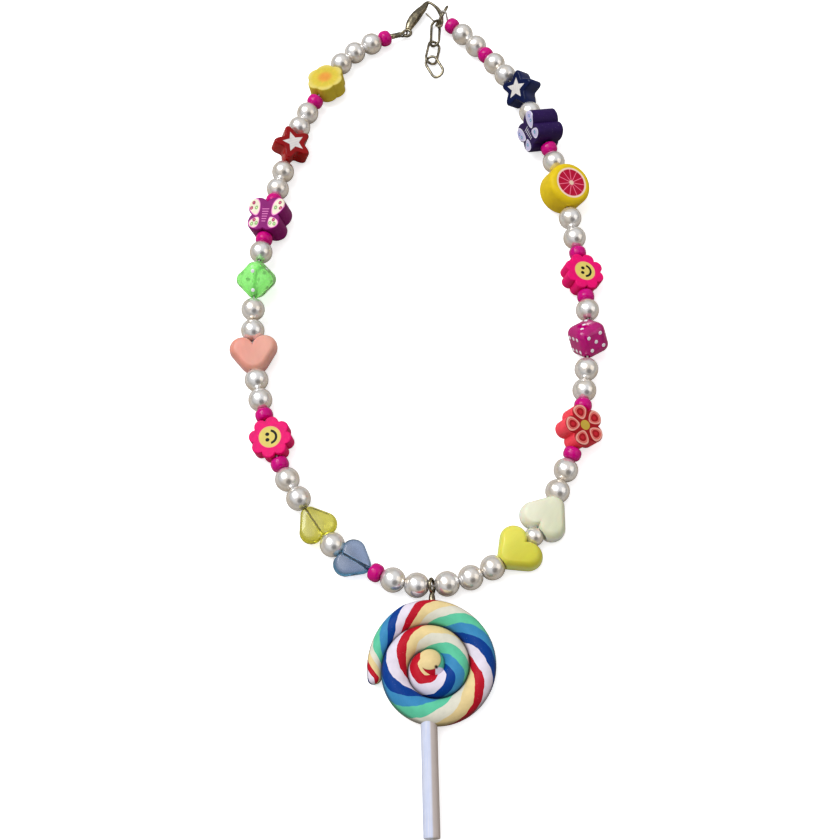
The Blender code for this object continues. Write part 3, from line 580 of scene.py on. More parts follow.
def heart(name, levels):
    """A heart through its levels (height, inset), hollowed to lie close against the beads at its ends."""
    width, lobe_end, tip_end, lobe_radius, tip_radius, beads, tip_first, lean = HEARTS[name]
    outline = heart_outline(width / 2, lobe_end - lobe_radius, tip_end, lobe_radius, tip_radius)
    cos, sin = math.cos(math.radians(lean)), math.sin(math.radians(lean))
    outline = [(x * cos - y * sin, x * sin + y * cos) for x, y in outline]
    reach = max(math.hypot(x, y) for x, y in outline)
    facing = 1 if tip_first else -1
    rings = []
    for level, inset in levels:
        # Toward the middle of a face the outline eases into a circle
        ease = 0.7 * min(1.0, max(0.0, (inset - 1.6) / 3.2))
        ring = []
        for x, y in outline:
            scale = (1 - inset / reach) * (1 + (reach * 0.86 / math.hypot(x, y) - 1) * ease)
            ring.append((x * scale, y * scale))
        for diameter, centre in beads:
            room = math.sqrt(max((diameter / 2 + 0.12) ** 2 - level**2, 0.0))
            ring = [clear_of(point, centre, room) for point in ring]
        rings.append([Vector((x * facing, y * facing, level)) for x, y in ring])
    return loft(rings)


def puffed(half):
    """Levels of a puffy form: a steep soft side, a round shoulder and a slightly domed face."""
    roundness, steps = 2.2, 14
    levels = []
    for k in range(steps + 1):
        angle = math.pi / 2 * k / steps
        levels.append(((half - 0.15) * math.sin(angle), roundness * (1 - math.cos(angle))))
    levels += [(half - 0.06, roundness + 0.9), (half - 0.015, roundness + 1.9), (half, roundness + 2.9)]
    return [(-z, inset) for z, inset in reversed(levels[1:])] + levels


def settle(shape, name, materials, body, nodes, pose=None, sharp=38):
    """Places a finished form in metres, ties it to its body and hides the solids that it stands for."""
    layer = shape.verts.layers.float_vector.new("charm")
    for vert in shape.verts:
        vert[layer] = vert.co
    if pose is not None:
        bmesh.ops.transform(shape, matrix=pose, verts=shape.verts[:])
    bmesh.ops.scale(shape, vec=(MM, MM, MM), verts=shape.verts[:])
    mesh = bpy.data.meshes.new(name)
    shape.to_mesh(mesh)
    shape.free()
    for mat in materials:
        mesh.materials.append(mat)
    mesh.shade_smooth()
    mesh.set_sharp_from_angle(angle=math.radians(sharp))
    made = bpy.data.objects.new(name, mesh)
    bpy.context.scene.collection.objects.link(made)
    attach(made, body)
    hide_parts(*nodes)
    return made


# ---------- finishes ----------


class Wire:
    """A shader node's output. Sums with it add Math nodes to its tree."""

    def __init__(self, tree, socket):
        self.tree = tree
        self.socket = socket

    def __add__(self, other):
        return maths("ADD", self, other)

    def __radd__(self, other):
        return maths("ADD", other, self)

    def __sub__(self, other):
        return maths("SUBTRACT", self, other)

    def __rsub__(self, other):
        return maths("SUBTRACT", other, self)

    def __mul__(self, other):
        return maths("MULTIPLY", self, other)

    def __truediv__(self, other):
        return maths("DIVIDE", self, other)

    def __abs__(self):
        return maths("ABSOLUTE", self)


def feed(node, place, value):
    """Gives a node's input a wire or a plain value."""
    socket = node.inputs[place]
    if isinstance(value, Wire):
        value.tree.links.new(value.socket, socket)
    elif socket.type == "RGBA":
        socket.default_value = (*value, 1.0)
    else:
        socket.default_value = value


def add_node(tree, kind, inputs, output=0, **settings):
    """Adds a node, feeds it and gives back one of its outputs."""
    made = tree.nodes.new(kind)
    for key, value in settings.items():
        setattr(made, key, value)
    for place, value in inputs.items():
        feed(made, place, value)
    return Wire(tree, made.outputs[output])


def maths(operation, *values):
    tree = next(value.tree for value in values if isinstance(value, Wire))
    return add_node(tree, "ShaderNodeMath", dict(enumerate(values)), operation=operation)


def step(value, low, high):
    """0 below low, 1 above high, smooth between. Where low is the larger, 1 below high and 0 above low."""
    if low > high:
        return 1.0 - step(value, high, low)
    inputs = {0: value, 1: low, 2: high}
    return add_node(value.tree, "ShaderNodeMapRange", inputs, interpolation_type="SMOOTHSTEP")


def blend(share, first, second):
    return add_node(share.tree, "ShaderNodeMix", {0: share, 6: first, 7: second}, 2, data_type="RGBA")


def layered(base, *layers):
    """Lays colours over a base in turn, each as its value passes from low to high."""
    for value, low, high, colour in layers:
        base = blend(step(value, low, high), base, colour)
    return base


def charm_place(tree):
    """The charm's own coordinates, in millimetres: X along the string, Z through the face."""
    return add_node(tree, "ShaderNodeAttribute", {}, "Vector", attribute_name="charm")


def object_place(tree):
    return add_node(tree, "ShaderNodeTexCoord", {}, "Object")


def split(vector):
    parts = vector.tree.nodes.new("ShaderNodeSeparateXYZ")
    feed(parts, 0, vector)
    return [Wire(vector.tree, part) for part in parts.outputs]


def join(x, y, z=0.0):
    return add_node(x.tree, "ShaderNodeCombineXYZ", {0: x, 1: y, 2: z})


def noise(place, scale, detail=2.0, rough=0.5):
    """Cloudy values from about 0.3 to 0.7; a larger scale makes them finer."""
    inputs = {"Vector": place, "Scale": scale, "Detail": detail, "Roughness": rough}
    return add_node(place.tree, "ShaderNodeTexNoise", inputs)


def polar(x, y):
    """Distance and angle from the middle."""
    return maths("SQRT", x * x + y * y), maths("ARCTAN2", y, x)


def oval(x, y, centre, half_sizes, tilt=0.0, taper=0.0):
    """Distance from an oval's middle, 1.0 at its edge; taper narrows it toward its own +X end."""
    cos, sin = math.cos(math.radians(tilt)), math.sin(math.radians(tilt))
    long, wide = half_sizes
    dx, dy = x - centre[0], y - centre[1]
    u = dx * (cos / long) + dy * (sin / long)
    v = dy * (cos / wide) - dx * (sin / wide)
    if taper:
        v = v / (1.0 - u * taper)
    return maths("SQRT", u * u + v * v)


def shaded(colour, value):
    """The colour, lighter or darker by a factor."""
    return add_node(value.tree, "ShaderNodeHueSaturation", {"Value": value, "Color": colour})


def skin_group(name, extra, fill):
    """A shared skin, built once: from a colour, a place and extras to a colour, roughness and height."""
    if name in bpy.data.node_groups:
        return bpy.data.node_groups[name]
    tree = bpy.data.node_groups.new(name, "ShaderNodeTree")
    sockets = [("Colour", "INPUT", "Color"), ("Place", "INPUT", "Vector")]
    sockets += [(label, "INPUT", "Float") for label in extra] + [("Colour", "OUTPUT", "Color")]
    sockets += [(label, "OUTPUT", "Float") for label in ("Roughness", "Height")]
    for label, side, kind in sockets:
        tree.interface.new_socket(name=label, in_out=side, socket_type="NodeSocket" + kind)
    given = {socket.name: Wire(tree, socket) for socket in tree.nodes.new("NodeGroupInput").outputs}
    out = tree.nodes.new("NodeGroupOutput")
    for place, value in enumerate(fill(given)):
        feed(out, place, value)
    return tree


def clay_skin(given):
    """Baked clay: faint mottling, finger smoothing and tiny specks."""
    broad = noise(given["Place"], 0.55, 3.0)
    fine = noise(given["Place"], 6.0)
    specks = step(noise(given["Place"], 3.4, 1.0), 0.70, 0.76)
    mottled = shaded(given["Colour"], 1.0 + (broad - 0.5) * given["Mottle"])
    tone = blend(specks * 0.06, mottled, (1.0, 1.0, 1.0))
    return tone, 0.40 + fine * 0.16, broad * 0.6 + fine * 0.25


def moulded_skin(given):
    """Moulded acrylic or glass: slow flow lines in the colour and hairline wear in the gloss."""
    x, y, z = split(given["Place"])
    flow = noise(join(x * 0.35, y, z), 0.5, 3.0)
    wear = step(noise(join(x * 5.0, y, z), 2.2), 0.56, 0.72)
    tone = shaded(given["Colour"], 1.0 + (flow - 0.5) * given["Flow"])
    return tone, given["Polish"] + wear * 0.08, flow * 0.5


def start_material(name, values):
    """A new material, its nodes and its shader; values are for the shader's own sockets, by name."""
    made = bpy.data.materials.new(name)
    made.use_nodes = True
    shader = made.node_tree.nodes["Principled BSDF"]
    for socket, value in values.items():
        feed(shader, socket, value)
    return made, made.node_tree, shader


def raise_relief(shader, height, strength, distance=0.0002):
    """Bumps in the shader's surface; distance is in metres."""
    inputs = {"Strength": strength, "Distance": distance, "Height": height}
    feed(shader, "Normal", add_node(height.tree, "ShaderNodeBump", inputs))


def wear_skin(shader, group, colour, place, relief, **values):
    """Sends a colour through a shared skin to the shader, with the skin's roughness and relief."""
    skin = place.tree.nodes.new("ShaderNodeGroup")
    skin.node_tree = group
    for label, value in {"Colour": colour, "Place": place, **values}.items():
        feed(skin, label, value)
    tone, roughness, height = (Wire(place.tree, socket) for socket in skin.outputs)
    feed(shader, "Base Color", tone)
    feed(shader, "Roughness", roughness)
    raise_relief(shader, height, relief)


def clay(name, paint, mottle=0.25):
    """A clay material; paint gives its colour from the charm's x, y and z."""
    made, tree, shader = start_material(name, {"Specular IOR Level": 0.14})
    place = charm_place(tree)
    group = skin_group("Clay skin", ("Mottle",), clay_skin)
    wear_skin(shader, group, paint(*split(place)), place, 0.25, Mottle=mottle)
    return made


def acrylic(name, paint, polish, clear=0.0, flow=0.3, glow=0.0):
    """A glossy moulded material, clear or solid, with a soft glow where light enters it."""
    made, tree, shader = start_material(name, {
        "Specular IOR Level": 0.4 if clear else 0.2, "Coat Weight": 0.1, "Coat Roughness": 0.04,
        "Transmission Weight": clear, "IOR": 1.47, "Subsurface Weight": glow, "Subsurface Scale": 0.0015,
    })
    place = charm_place(tree)
    group = skin_group("Moulded skin", ("Flow", "Polish"), moulded_skin)
    wear_skin(shader, group, paint(*split(place)), place, 0.08, Flow=flow, Polish=polish)
    return made


def plain(colour):
    """One colour all over."""
    return lambda x, y, z: colour


def pearl_material(colours):
    """Imitation pearl: a milky body, fine nacre mottling and a satin lustre under a clear coat."""
    values = {"Metallic": 0.7, "Coat Weight": 0.35, "Coat Roughness": 0.12}
    made, tree, shader = start_material("pearl_nacre", values)
    broad = noise(object_place(tree), 420.0, 3.0)
    fine = noise(object_place(tree), 2600.0, 3.0)
    warm = blend(step(broad, 0.4, 0.65), colours.pearl, linear(236, 226, 212))
    feed(shader, "Base Color", blend(fine * 0.08, warm, linear(205, 208, 220)))
    feed(shader, "Roughness", 0.14 + broad * 0.05)
    raise_relief(shader, fine, 0.01)
    return made


def metal_material(colours):
    """Aged pale brass: dark in patches, rubbed bright on top, with fine wire marks."""
    made, tree, shader = start_material("aged_brass", {"Metallic": 1.0})
    patches = step(noise(object_place(tree), 700.0, 3.0), 0.42, 0.62)
    fine = noise(object_place(tree), 5200.0)
    tone = blend(patches, linear(78, 70, 52), colours.metal)
    feed(shader, "Base Color", blend(fine * 0.3, tone, linear(214, 206, 186)))
    feed(shader, "Roughness", 0.14 + fine * 0.2)
    raise_relief(shader, fine, 0.2, 0.0001)
    return made


def string_material(colours):
    """Clear stretch string with a fine lengthwise grain."""
    made, tree, shader = start_material("clear_string", {"Transmission Weight": 0.3})
    grain = noise(object_place(tree), 1800.0)
    feed(shader, "Base Color", blend(grain, colours.string, linear(196, 192, 186)))
    feed(shader, "Roughness", 0.2 + grain * 0.2)
    return made


def star_mask(x, y, turn):
    """1 inside a sharp five-pointed star with a point at the angle turn."""
    outer, inner, half_point = 3.1, 1.42, math.pi / 5
    reach, angle = polar(x, y)
    fold = abs(maths("WRAP", angle - turn, half_point, -half_point))
    across, along = inner * math.sin(half_point), outer - inner * math.cos(half_point)
    size = math.hypot(across, along)
    edge = reach * (maths("COSINE", fold) * (across / size) + maths("SINE", fold) * (along / size))
    border = outer * across / size
    return step(edge, border + 0.04, border - 0.04)


def star_paint(body, inlay, dark, turn, shift, half):
    def paint(x, y, z):
        mask = star_mask(x - shift, y, turn) * step(abs(z), half - 0.35, half - 0.25)
        stripes = step(maths("SINE", (x + y) * 6.0), 0.2, 0.9)
        pale = blend(stripes * 0.28, inlay, linear(188, 184, 196))
        # Painted shade: the flat faces darken toward the dark colour, so the rounded rim looks lit through
        # the acrylic.
        face_shade = blend(step(abs(z), half - 0.9, half - 0.1) * 0.65, body, dark)
        return blend(mask, face_shade, pale)

    return paint


def smiley_paint(colours, turn):
    """A round yellow face with two dots and a curve, turned so that its top points to the angle turn."""
    face_radius, smile_radius = 2.72, 1.62
    cos, sin = math.cos(math.radians(turn)), math.sin(math.radians(turn))

    def paint(x, y, z):
        top, left = x * cos + y * sin, y * cos - x * sin
        reach, _ = polar(top, left)
        base = layered(colours.petal_pink, (noise(join(x, y, z), 0.8), 0.35, 0.7, linear(222, 8, 104)))
        face = layered(
            base,
            (reach, face_radius + 0.14, face_radius + 0.04, linear(236, 160, 130)),
            (reach, face_radius, face_radius - 0.1, colours.smiley),
        )
        eye = oval(top, abs(left), (0.62, 0.72), (0.52, 0.48))
        smile_reach, smile_angle = polar(top - 0.05, left)
        smile = step(abs(smile_reach - smile_radius), 0.34, 0.26) * step(abs(smile_angle), 1.72, 1.78)
        marks = maths("MAXIMUM", step(eye, 1.05, 0.9), smile)
        front = step(abs(z), 1.9, 2.0) * step(reach, 5.0, 4.5)
        return blend(front, base, blend(marks, face, colours.ink))

    return paint


def yellow_flower_paint(colours):
    def paint(x, y, z):
        reach, angle = polar(x, y)
        rays = noise(join(angle * 3.2, reach * 0.25), 2.0, 4.0, 0.7)
        line = step(maths("COSINE", angle * 6.0), 0.86, 0.99) * step(reach, 1.6, 3.4)
        side = blend(noise(join(x, y, z), 0.9), colours.lemon, linear(196, 176, 38))
        pale = blend(step(reach, 3.3, 5.0), colours.lemon, linear(218, 202, 112))
        rayed = blend(step(rays, 0.45, 0.7) * 0.5, pale, linear(232, 196, 72))
        lined = blend(line * 0.4, rayed, linear(206, 190, 70))
        warm = blend(step(reach - rays * 1.6, 1.9, 0.2), lined, colours.lemon_heart)
        return blend(step(abs(z), 2.2, 2.4), side, warm)

    return paint


def red_flower_paint(colours):
    def paint(x, y, z):
        reach, angle = polar(x + 0.35, y)
        fold = maths("WRAP", angle, math.pi / 5, -math.pi / 5)
        u, v = reach * maths("COSINE", fold), reach * maths("SINE", fold)
        away = oval(u, v, (3.42, 0.0), (1.92, 1.8), taper=-0.36)
        core = layered(
            colours.petal_red,
            (maths("SINE", away * 34.0), -0.2, 0.4, linear(236, 130, 116)),
            (away, 0.62, 0.5, colours.deep_red),
            (away, 0.36, 0.2, linear(196, 30, 44)),
        )
        disc = layered(
            colours.deep_red,
            (away, 1.0, 0.94, layered(colours.peach, (away, 0.78, 0.7, core))),
            (reach, 1.32, 1.22, linear(196, 166, 62)),
        )
        side = blend(noise(join(x, y, z), 0.8), colours.coral, linear(240, 60, 80))
        return layered(side, (abs(z), 2.5, 2.65, disc))

    return paint


def citrus_paint(colours):
    half_segment = math.pi / 11

    def paint(x, y, z):
        reach, angle = polar(x, y)
        fold = abs(maths("WRAP", angle, half_segment, -half_segment))
        gap = reach * maths("SINE", half_segment - fold)
        juice = noise(join(angle * 9.0, reach), 1.6, 3.0)
        skin = blend(noise(join(x, y, z), 0.7), colours.rind, linear(216, 184, 24))
        face = layered(
            colours.flesh,
            (juice, 0.3, 0.75, linear(196, 8, 62)),
            (gap, 0.12, 0.05, linear(250, 128, 160)),
            (reach, 3.78, 3.9, colours.pith),
            (reach, 0.75, 0.55, linear(232, 202, 176)),
            (reach, 4.28, 4.4, skin),
        )
        return layered(skin, (abs(z), 3.6, 3.9, face))

    return paint


def butterfly_paint(body, patch, outline, dots, head, half, stretch=1.0):
    """Outlined patches with dots on four wings and bars on the body; head is 1 toward +X, -1 toward -X."""

    def paint(x, y, z):
        up, side = x * (head / stretch), abs(y)
        base = blend(noise(join(x, y, z), 0.7), body, [part * 0.72 for part in body])
        upper = oval(up, side, (2.2, 3.3), (2.75, 1.6), 20.0, -0.25)
        lower = oval(up, side, (-2.45, 2.55), (1.7, 1.35), -30.0, 0.35)
        near = maths("MINIMUM", upper, lower)
        wobble = noise(join(x, y, z), 2.2, 1.0) * 0.5
        picture = patch
        for centre, colour in dots:
            away = oval(up, side, centre, (0.62, 0.5)) + wobble
            light = [min(1.0, part * 2.2 + 0.1) for part in colour]
            picture = layered(picture, (away, 1.25, 1.05, colour), (away, 0.62, 0.5, light))
        wings = layered(picture, (near, 0.86, 0.92, outline), (near, 1.0, 1.05, base))
        bars = step(maths("SINE", (up + 2.35) * 8.6), 0.35, 0.7)
        inside = step(side - (0.78 + up * 0.12), 0.08, -0.02)
        span = step(up, -2.4, -2.3) * step(up, 2.1, 2.0)
        striped = blend(bars * inside * span * 0.85, wings, outline)
        return blend(step(abs(z), half - 0.35, half - 0.2), base, striped)

    return paint


def heart_paint(body, edge, side, half):
    """A solid heart with paler thin edges, and painted shade that darkens it toward its +Y side."""

    def paint(x, y, z):
        thin = step(abs(z), half * 0.72, half * 0.2)
        # Painted shade: the body turns to the darker side colour toward the heart's +Y side.
        core = blend(step(y * 0.8 + x * 0.2, -4.5, 4.5), body, side)
        return blend(thin * 0.75, core, edge)

    return paint


def glass_paint(middle, rim):
    """A clear heart, darker round its thin edge."""
    return lambda x, y, z: blend(step(abs(z), 0.9, 1.65), rim, middle)


def rope_material(colours):
    """Seven coloured strands that twist round the rope, read from its own map, with a dark band painted
    along both sides of the rope as shade where the turns press together.
    """
    made, tree, shader = start_material("lollipop_rope", {"Specular IOR Level": 0.12})
    u, v, _ = split(add_node(tree, "ShaderNodeUVMap", {}, uv_map="rope"))
    place = charm_place(tree)
    phase = maths("FRACT", v - u + 8.0 + (noise(place, 0.22) - 0.5) * 0.10)
    ramp = tree.nodes.new("ShaderNodeValToRGB")
    feed(ramp, 0, phase)
    ramp.color_ramp.interpolation = "CONSTANT"
    bands = (
        (0.0, colours.royal), (0.135, colours.white), (0.285, colours.red), (0.41, colours.custard),
        (0.56, colours.chalk), (0.70, colours.mint), (0.85, colours.sky),
    )
    while len(ramp.color_ramp.elements) < len(bands):
        ramp.color_ramp.elements.new(0.99)
    for element, (start, colour) in zip(ramp.color_ramp.elements, bands):
        element.position = start
        element.color = (*colour, 1.0)
    # Painted shade: a dark band along both sides of the rope, where the turns meet and round the outer
    # edge.
    turn_shade = step(abs(maths("SINE", u * math.tau)), 0.80, 1.0) * 0.62
    colour = blend(turn_shade, Wire(tree, ramp.outputs[0]), linear(42, 26, 24))
    wear_skin(shader, skin_group("Clay skin", ("Mottle",), clay_skin), colour, place, 0.3, Mottle=0.3)
    return made


def core_paint(colours, middle):
    """The rope's inner end: a cream ball over red, white and mint, with painted shade in the fold round the
    ball and a small pit painted dark as shade.
    """

    def paint(x, y, z):
        x, y = x - middle.x, y - middle.y
        ball = oval(x, y, (-0.15, 0.8), (2.6, 2.6))
        low = step(y, -1.0, -1.3)
        below = blend(step(x, 1.1, 1.3), colours.red, blend(low, colours.mint, colours.white))
        coat = blend(step(y, 0.9, 1.3), below, colours.mint)
        reach, _ = polar(x, y)
        whole = layered(
            coat, (reach, 3.3, 3.45, blend(low, coat, colours.royal)), (ball, 1.03, 0.99, colours.custard)
        )
        # Painted shade: a dark ring in the fold round the cream ball, and a dark spot for the shade in the
        # small pit.
        crease_shade = step(abs(ball - 1.02), 0.08, 0.0)
        pit = step(oval(x, y, (1.4, -1.15), (0.6, 0.6)), 1.0, 0.3)
        return blend(maths("MAXIMUM", crease_shade * 0.45, pit), whole, linear(40, 26, 26))

    return paint


# ---------- one operator for each piece or group of like pieces ----------


def contacts_of(name):
    """Where the string enters and leaves the only bead of this name."""
    return next(contacts for item, _, contacts in strand_places() if item == name)


def charm_pose(name):
    return bead_pose(*contacts_of(name), *CHARMS[name][1:4])


def charm_half(name):
    """Half of the charm's thickness."""
    return CHARMS[name][-1]


def add_charm(name, form, mat, bore=None):
    """Drills a charm where the string runs and lays it in its place on the strand."""
    pose = charm_pose(name)
    turn = pose.inverted() @ bead_pose(*contacts_of(name))
    form = drilled(form, turn, bore or bpy.context.scene.necklace_sizes.bore / MM)
    return settle(form, "fine_" + name, (mat,), "strand", (name,), pose)


def place_camera(scene, sizes, aim):
    back = Vector((0.0, -math.cos(sizes.elevation), math.sin(sizes.elevation)))
    camera = bpy.data.objects.new("camera", bpy.data.cameras.new("camera"))
    camera.data.lens = sizes.lens
    camera.data.sensor_width = 36.0
    camera.data.clip_start = 0.01
    camera.location = aim + back * sizes.distance
    camera.rotation_euler = (math.pi / 2 - sizes.elevation, 0.0, 0.0)
    scene.collection.objects.link(camera)
    scene.camera = camera


def lay_floor(scene, sizes, colours):
    """A floor that the camera sees as plain white and that the gloss of the beads sees as warm grey."""
    shape = bmesh.new()
    below = Matrix.Translation((0.0, 0.0, -0.00002))
    bmesh.ops.create_grid(shape, x_segments=8, y_segments=8, size=sizes.floor / 2, matrix=below)
    mesh = bpy.data.meshes.new("floor")
    shape.to_mesh(mesh)
    shape.free()
    floor = bpy.data.objects.new("floor", mesh)
    scene.collection.objects.link(floor)
    made, tree, shader = start_material("pale_floor", {"Emission Strength": 0.6, "Roughness": 0.9})
    pale = blend(noise(object_place(tree), 60.0, 4.0), colours.floor, linear(240, 240, 241))
    path = tree.nodes.new("ShaderNodeLightPath").outputs
    seen = maths("MAXIMUM", Wire(tree, path["Is Camera Ray"]), Wire(tree, path["Is Transmission Ray"]))
    feed(shader, "Base Color", blend(seen, linear(176, 168, 156), pale))
    feed(shader, "Emission Color", blend(seen, (0.0, 0.0, 0.0), (1.0, 1.0, 1.0)))
    mesh.materials.append(made)


def room_light():
    """A room for the gloss: a bright window, a dark patch and grey walls. The camera itself sees white."""
    world = bpy.data.worlds.new("room")
    world.use_nodes = True
    tree = world.node_tree
    axes = split(add_node(tree, "ShaderNodeTexCoord", {}, "Generated"))

    def patch(toward, near, far):
        x, y, z = (axis * share for axis, share in zip(axes, Vector(toward).normalized()))
        return step(x + y + z, math.cos(math.radians(far)), math.cos(math.radians(near)))

    walls = blend(step(axes[2], 0.0, 0.8), (0.36, 0.34, 0.31), (0.86, 0.86, 0.87))
    window = blend(patch((-0.39, 0.13, 0.91), 11, 30), walls, (3.4, 3.45, 3.6))
    room = blend(patch((0.31, -0.66, 0.68), 14, 31), window, (0.03, 0.02, 0.02))
    seen = add_node(tree, "ShaderNodeLightPath", {}, "Is Camera Ray")
    background = tree.nodes["Background"]
    feed(background, "Color", blend(seen, room, (1.3, 1.3, 1.3)))
    feed(background, "Strength", 0.8)
    return world


class NECKLACE_OT_stage(bpy.types.Operator):
    """Lay the pale floor, set the soft lights and place the camera"""

    bl_idname = "necklace.stage"
    bl_label = "Stage"

    def execute(self, context):
        scene = context.scene
        sizes = scene.necklace_sizes
        aim = spot(0.0, 0.0, 3.0) * MM
        place_camera(scene, sizes, aim)
        lay_floor(scene, sizes, scene.necklace_colours)
        for name, where, size, watts, colour in (
            ("key", (-0.34, 0.22, 0.46), 0.30, sizes.key, (0.90, 0.95, 1.0)),
            ("fill", (0.55, -0.05, 0.40), 0.45, sizes.fill, (1.0, 0.93, 0.84)),
        ):
            light = bpy.data.lights.new(name, "AREA")
            light.size = size
            light.energy = watts
            light.color = colour
            lamp = bpy.data.objects.new(name, light)
            lamp.location = where
            lamp.rotation_euler = (Vector(where) - aim).to_track_quat("Z", "Y").to_euler()
            scene.collection.objects.link(lamp)
        scene.world = room_light()
        scene.view_settings.view_transform = "Standard"
        return {"FINISHED"}


class NECKLACE_OT_string(bpy.types.Operator):
    """Run the clear string through every bead"""

    bl_idname = "necklace.string"
    bl_label = "String"

    def execute(self, context):
        sizes, colours = context.scene.necklace_sizes, context.scene.necklace_colours
        contacts = contact_points()
        heading = (spot(*CLASP_EYE) - contacts[-1]).normalized()
        line = [*string_loop(), *contacts, contacts[-1] + heading * STRING_END]
        shape = tube(line, sizes.string / MM / 2, 12)
        settle(shape, "fine_string", (string_material(colours),), "strand", ("string",))
        return {"FINISHED"}


def round_profile(radius, half, bore):
    """Half outline of a round bead with flattened, drilled ends, as a closed profile."""
    lip, count = 0.12, 18
    cut = math.asin(min(0.999, half / radius))
    angles = [-cut + 2 * cut * k / count for k in range(count + 1)]
    arc = [(radius * math.sin(a), radius * math.cos(a)) for a in angles]
    return [(-half, bore + lip), *arc, (half, bore + lip), (half - lip, bore), (lip - half, bore)]


class NECKLACE_OT_pearls(bpy.types.Operator):
    """Thread the pearls, in their runs of one to three"""

    bl_idname = "necklace.pearls"
    bl_label = "Pearls"

    def execute(self, context):
        sizes = context.scene.necklace_sizes
        mat = pearl_material(context.scene.necklace_colours)
        bore = sizes.bore / MM / 2 * 0.8
        for item, number, contacts in strand_places():
            if item not in ("pearls", "small pearl"):
                continue
            small = item == "small pearl"
            radius = (sizes.small_pearl if small else sizes.pearl) / MM / 2
            half = (SMALL_PEARL_SLOT if small else PEARL_SLOT) / 2 - BEAD_GAP
            profile = round_profile(radius, half, bore)
            node = "pearl_small" if small else f"pearls_{number:02d}"
            whole = bmesh.new()
            for start, end in zip(contacts, contacts[1:]):
                one = turned(profile, 44)
                bmesh.ops.transform(one, matrix=bead_pose(start, end), verts=one.verts[:])
                mesh = bpy.data.meshes.new("one")
                one.to_mesh(mesh)
                one.free()
                whole.from_mesh(mesh)
                bpy.data.meshes.remove(mesh)
            settle(whole, "fine_" + node, (mat,), "strand", (node,))
        return {"FINISHED"}


class NECKLACE_OT_spacers(bpy.types.Operator):
    """Thread the pink spacers"""

    bl_idname = "necklace.spacers"
    bl_label = "Spacers"

    def execute(self, context):
        sizes, colours = context.scene.necklace_sizes, context.scene.necklace_colours
        mat = acrylic("spacer_pink", plain(colours.spacer), polish=0.1, flow=0.5, glow=0.1)
        radius, bore = sizes.spacer / MM / 2, sizes.bore / MM / 2
        half = SPACER_SLOT / 2 - BEAD_GAP
        profile = []
        for k in range(25):
            angle = math.pi * k / 24
            x = -half * math.copysign(abs(math.cos(angle)) ** 0.8, math.cos(angle))
            profile.append((x, bore + (radius - bore) * math.sin(angle) ** 0.62))
        profile += [(half * 0.7, bore * 0.9), (-half * 0.7, bore * 0.9)]
        for item, number, contacts in strand_places():
            if item == "spacer":
                node = f"spacer_{number:02d}"
                form = turned(profile, 36)
                settle(form, "fine_" + node, (mat,), "strand", (node,), bead_pose(*contacts))
        return {"FINISHED"}


class NECKLACE_OT_stars(bpy.types.Operator):
    """Set the red and the blue star"""

    bl_idname = "necklace.stars"
    bl_label = "Stars"

    def execute(self, context):
        colours = context.scene.necklace_colours
        # Each star's last colour is the painted shade on its flat faces.
        for name, turn, shift, body, dark in (
            ("star_red", math.pi, 0.62, colours.star_red, linear(120, 0, 6)),
            ("star_blue", 0.0, -0.6, colours.star_blue, linear(0, 8, 44)),
        ):
            half = charm_half(name)
            outline = [(x + shift, y) for x, y in polar_outline(star_reach, 150, turn)]
            paint = star_paint(body, colours.inlay, dark, turn, shift, half)
            mat = acrylic(name + "_acrylic", paint, polish=0.06, flow=0.5)
            add_charm(name, slab(outline, half, 0.8), mat)
        return {"FINISHED"}


class NECKLACE_OT_butterflies(bpy.types.Operator):
    """Set the magenta and the purple butterfly"""

    bl_idname = "necklace.butterflies"
    bl_label = "Butterflies"

    def execute(self, context):
        colours = context.scene.necklace_colours
        rim, cells = 0.45, 180
        half = charm_half("butterfly_magenta")
        dots = (
            ((3.35, 3.75), colours.bud), ((1.75, 4.15), colours.bud), ((1.9, 2.75), colours.leaf),
            ((-1.75, 2.75), colours.bud), ((-2.75, 1.95), colours.leaf), ((-3.0, 3.2), colours.leaf),
        )
        paint = butterfly_paint(colours.magenta, colours.cream, colours.wing_line, dots, 1.0, half)
        form = slab(polar_outline(butterfly_reach, cells), half, rim)
        add_charm("butterfly_magenta", form, clay("butterfly_magenta_clay", paint, mottle=0.35))

        half, stretch = charm_half("butterfly_purple"), 0.92
        dots = (
            ((3.0, 3.7), linear(120, 136, 190)), ((1.5, 3.4), linear(112, 150, 176)),
            ((-2.3, 2.6), linear(104, 150, 176)),
        )
        paint = butterfly_paint(
            colours.violet, colours.lavender, linear(232, 228, 240), dots, -1.0, half, stretch
        )
        outline = [(x * stretch, y) for x, y in polar_outline(butterfly_reach, cells, math.pi)]
        form = slab(outline, half, rim)
        add_charm("butterfly_purple", form, clay("butterfly_purple_clay", paint, mottle=0.35))
        return {"FINISHED"}


class NECKLACE_OT_citrus(bpy.types.Operator):
    """Set the citrus slice"""

    bl_idname = "necklace.citrus"
    bl_label = "Citrus slice"

    def execute(self, context):
        radius = 6.0
        form = slab(polar_outline(lambda angle: radius, 96), charm_half("citrus_slice"), 1.5, steps=8)
        paint = citrus_paint(context.scene.necklace_colours)
        add_charm("citrus_slice", form, clay("citrus_clay", paint, mottle=0.2))
        return {"FINISHED"}


class NECKLACE_OT_smileys(bpy.types.Operator):
    """Set the two smiley flowers"""

    bl_idname = "necklace.smileys"
    bl_label = "Smiley flowers"

    def execute(self, context):
        colours = context.scene.necklace_colours
        outline = polar_outline(petal_reach(8, 3.7, 1.7), 160, math.radians(22.5))
        for name, turn in (("smiley_flower_left", 75.0), ("smiley_flower_right", -100.0)):
            mat = clay(name + "_clay", smiley_paint(colours, turn), mottle=0.2)
            add_charm(name, slab(outline, charm_half(name), 0.4), mat)
        return {"FINISHED"}


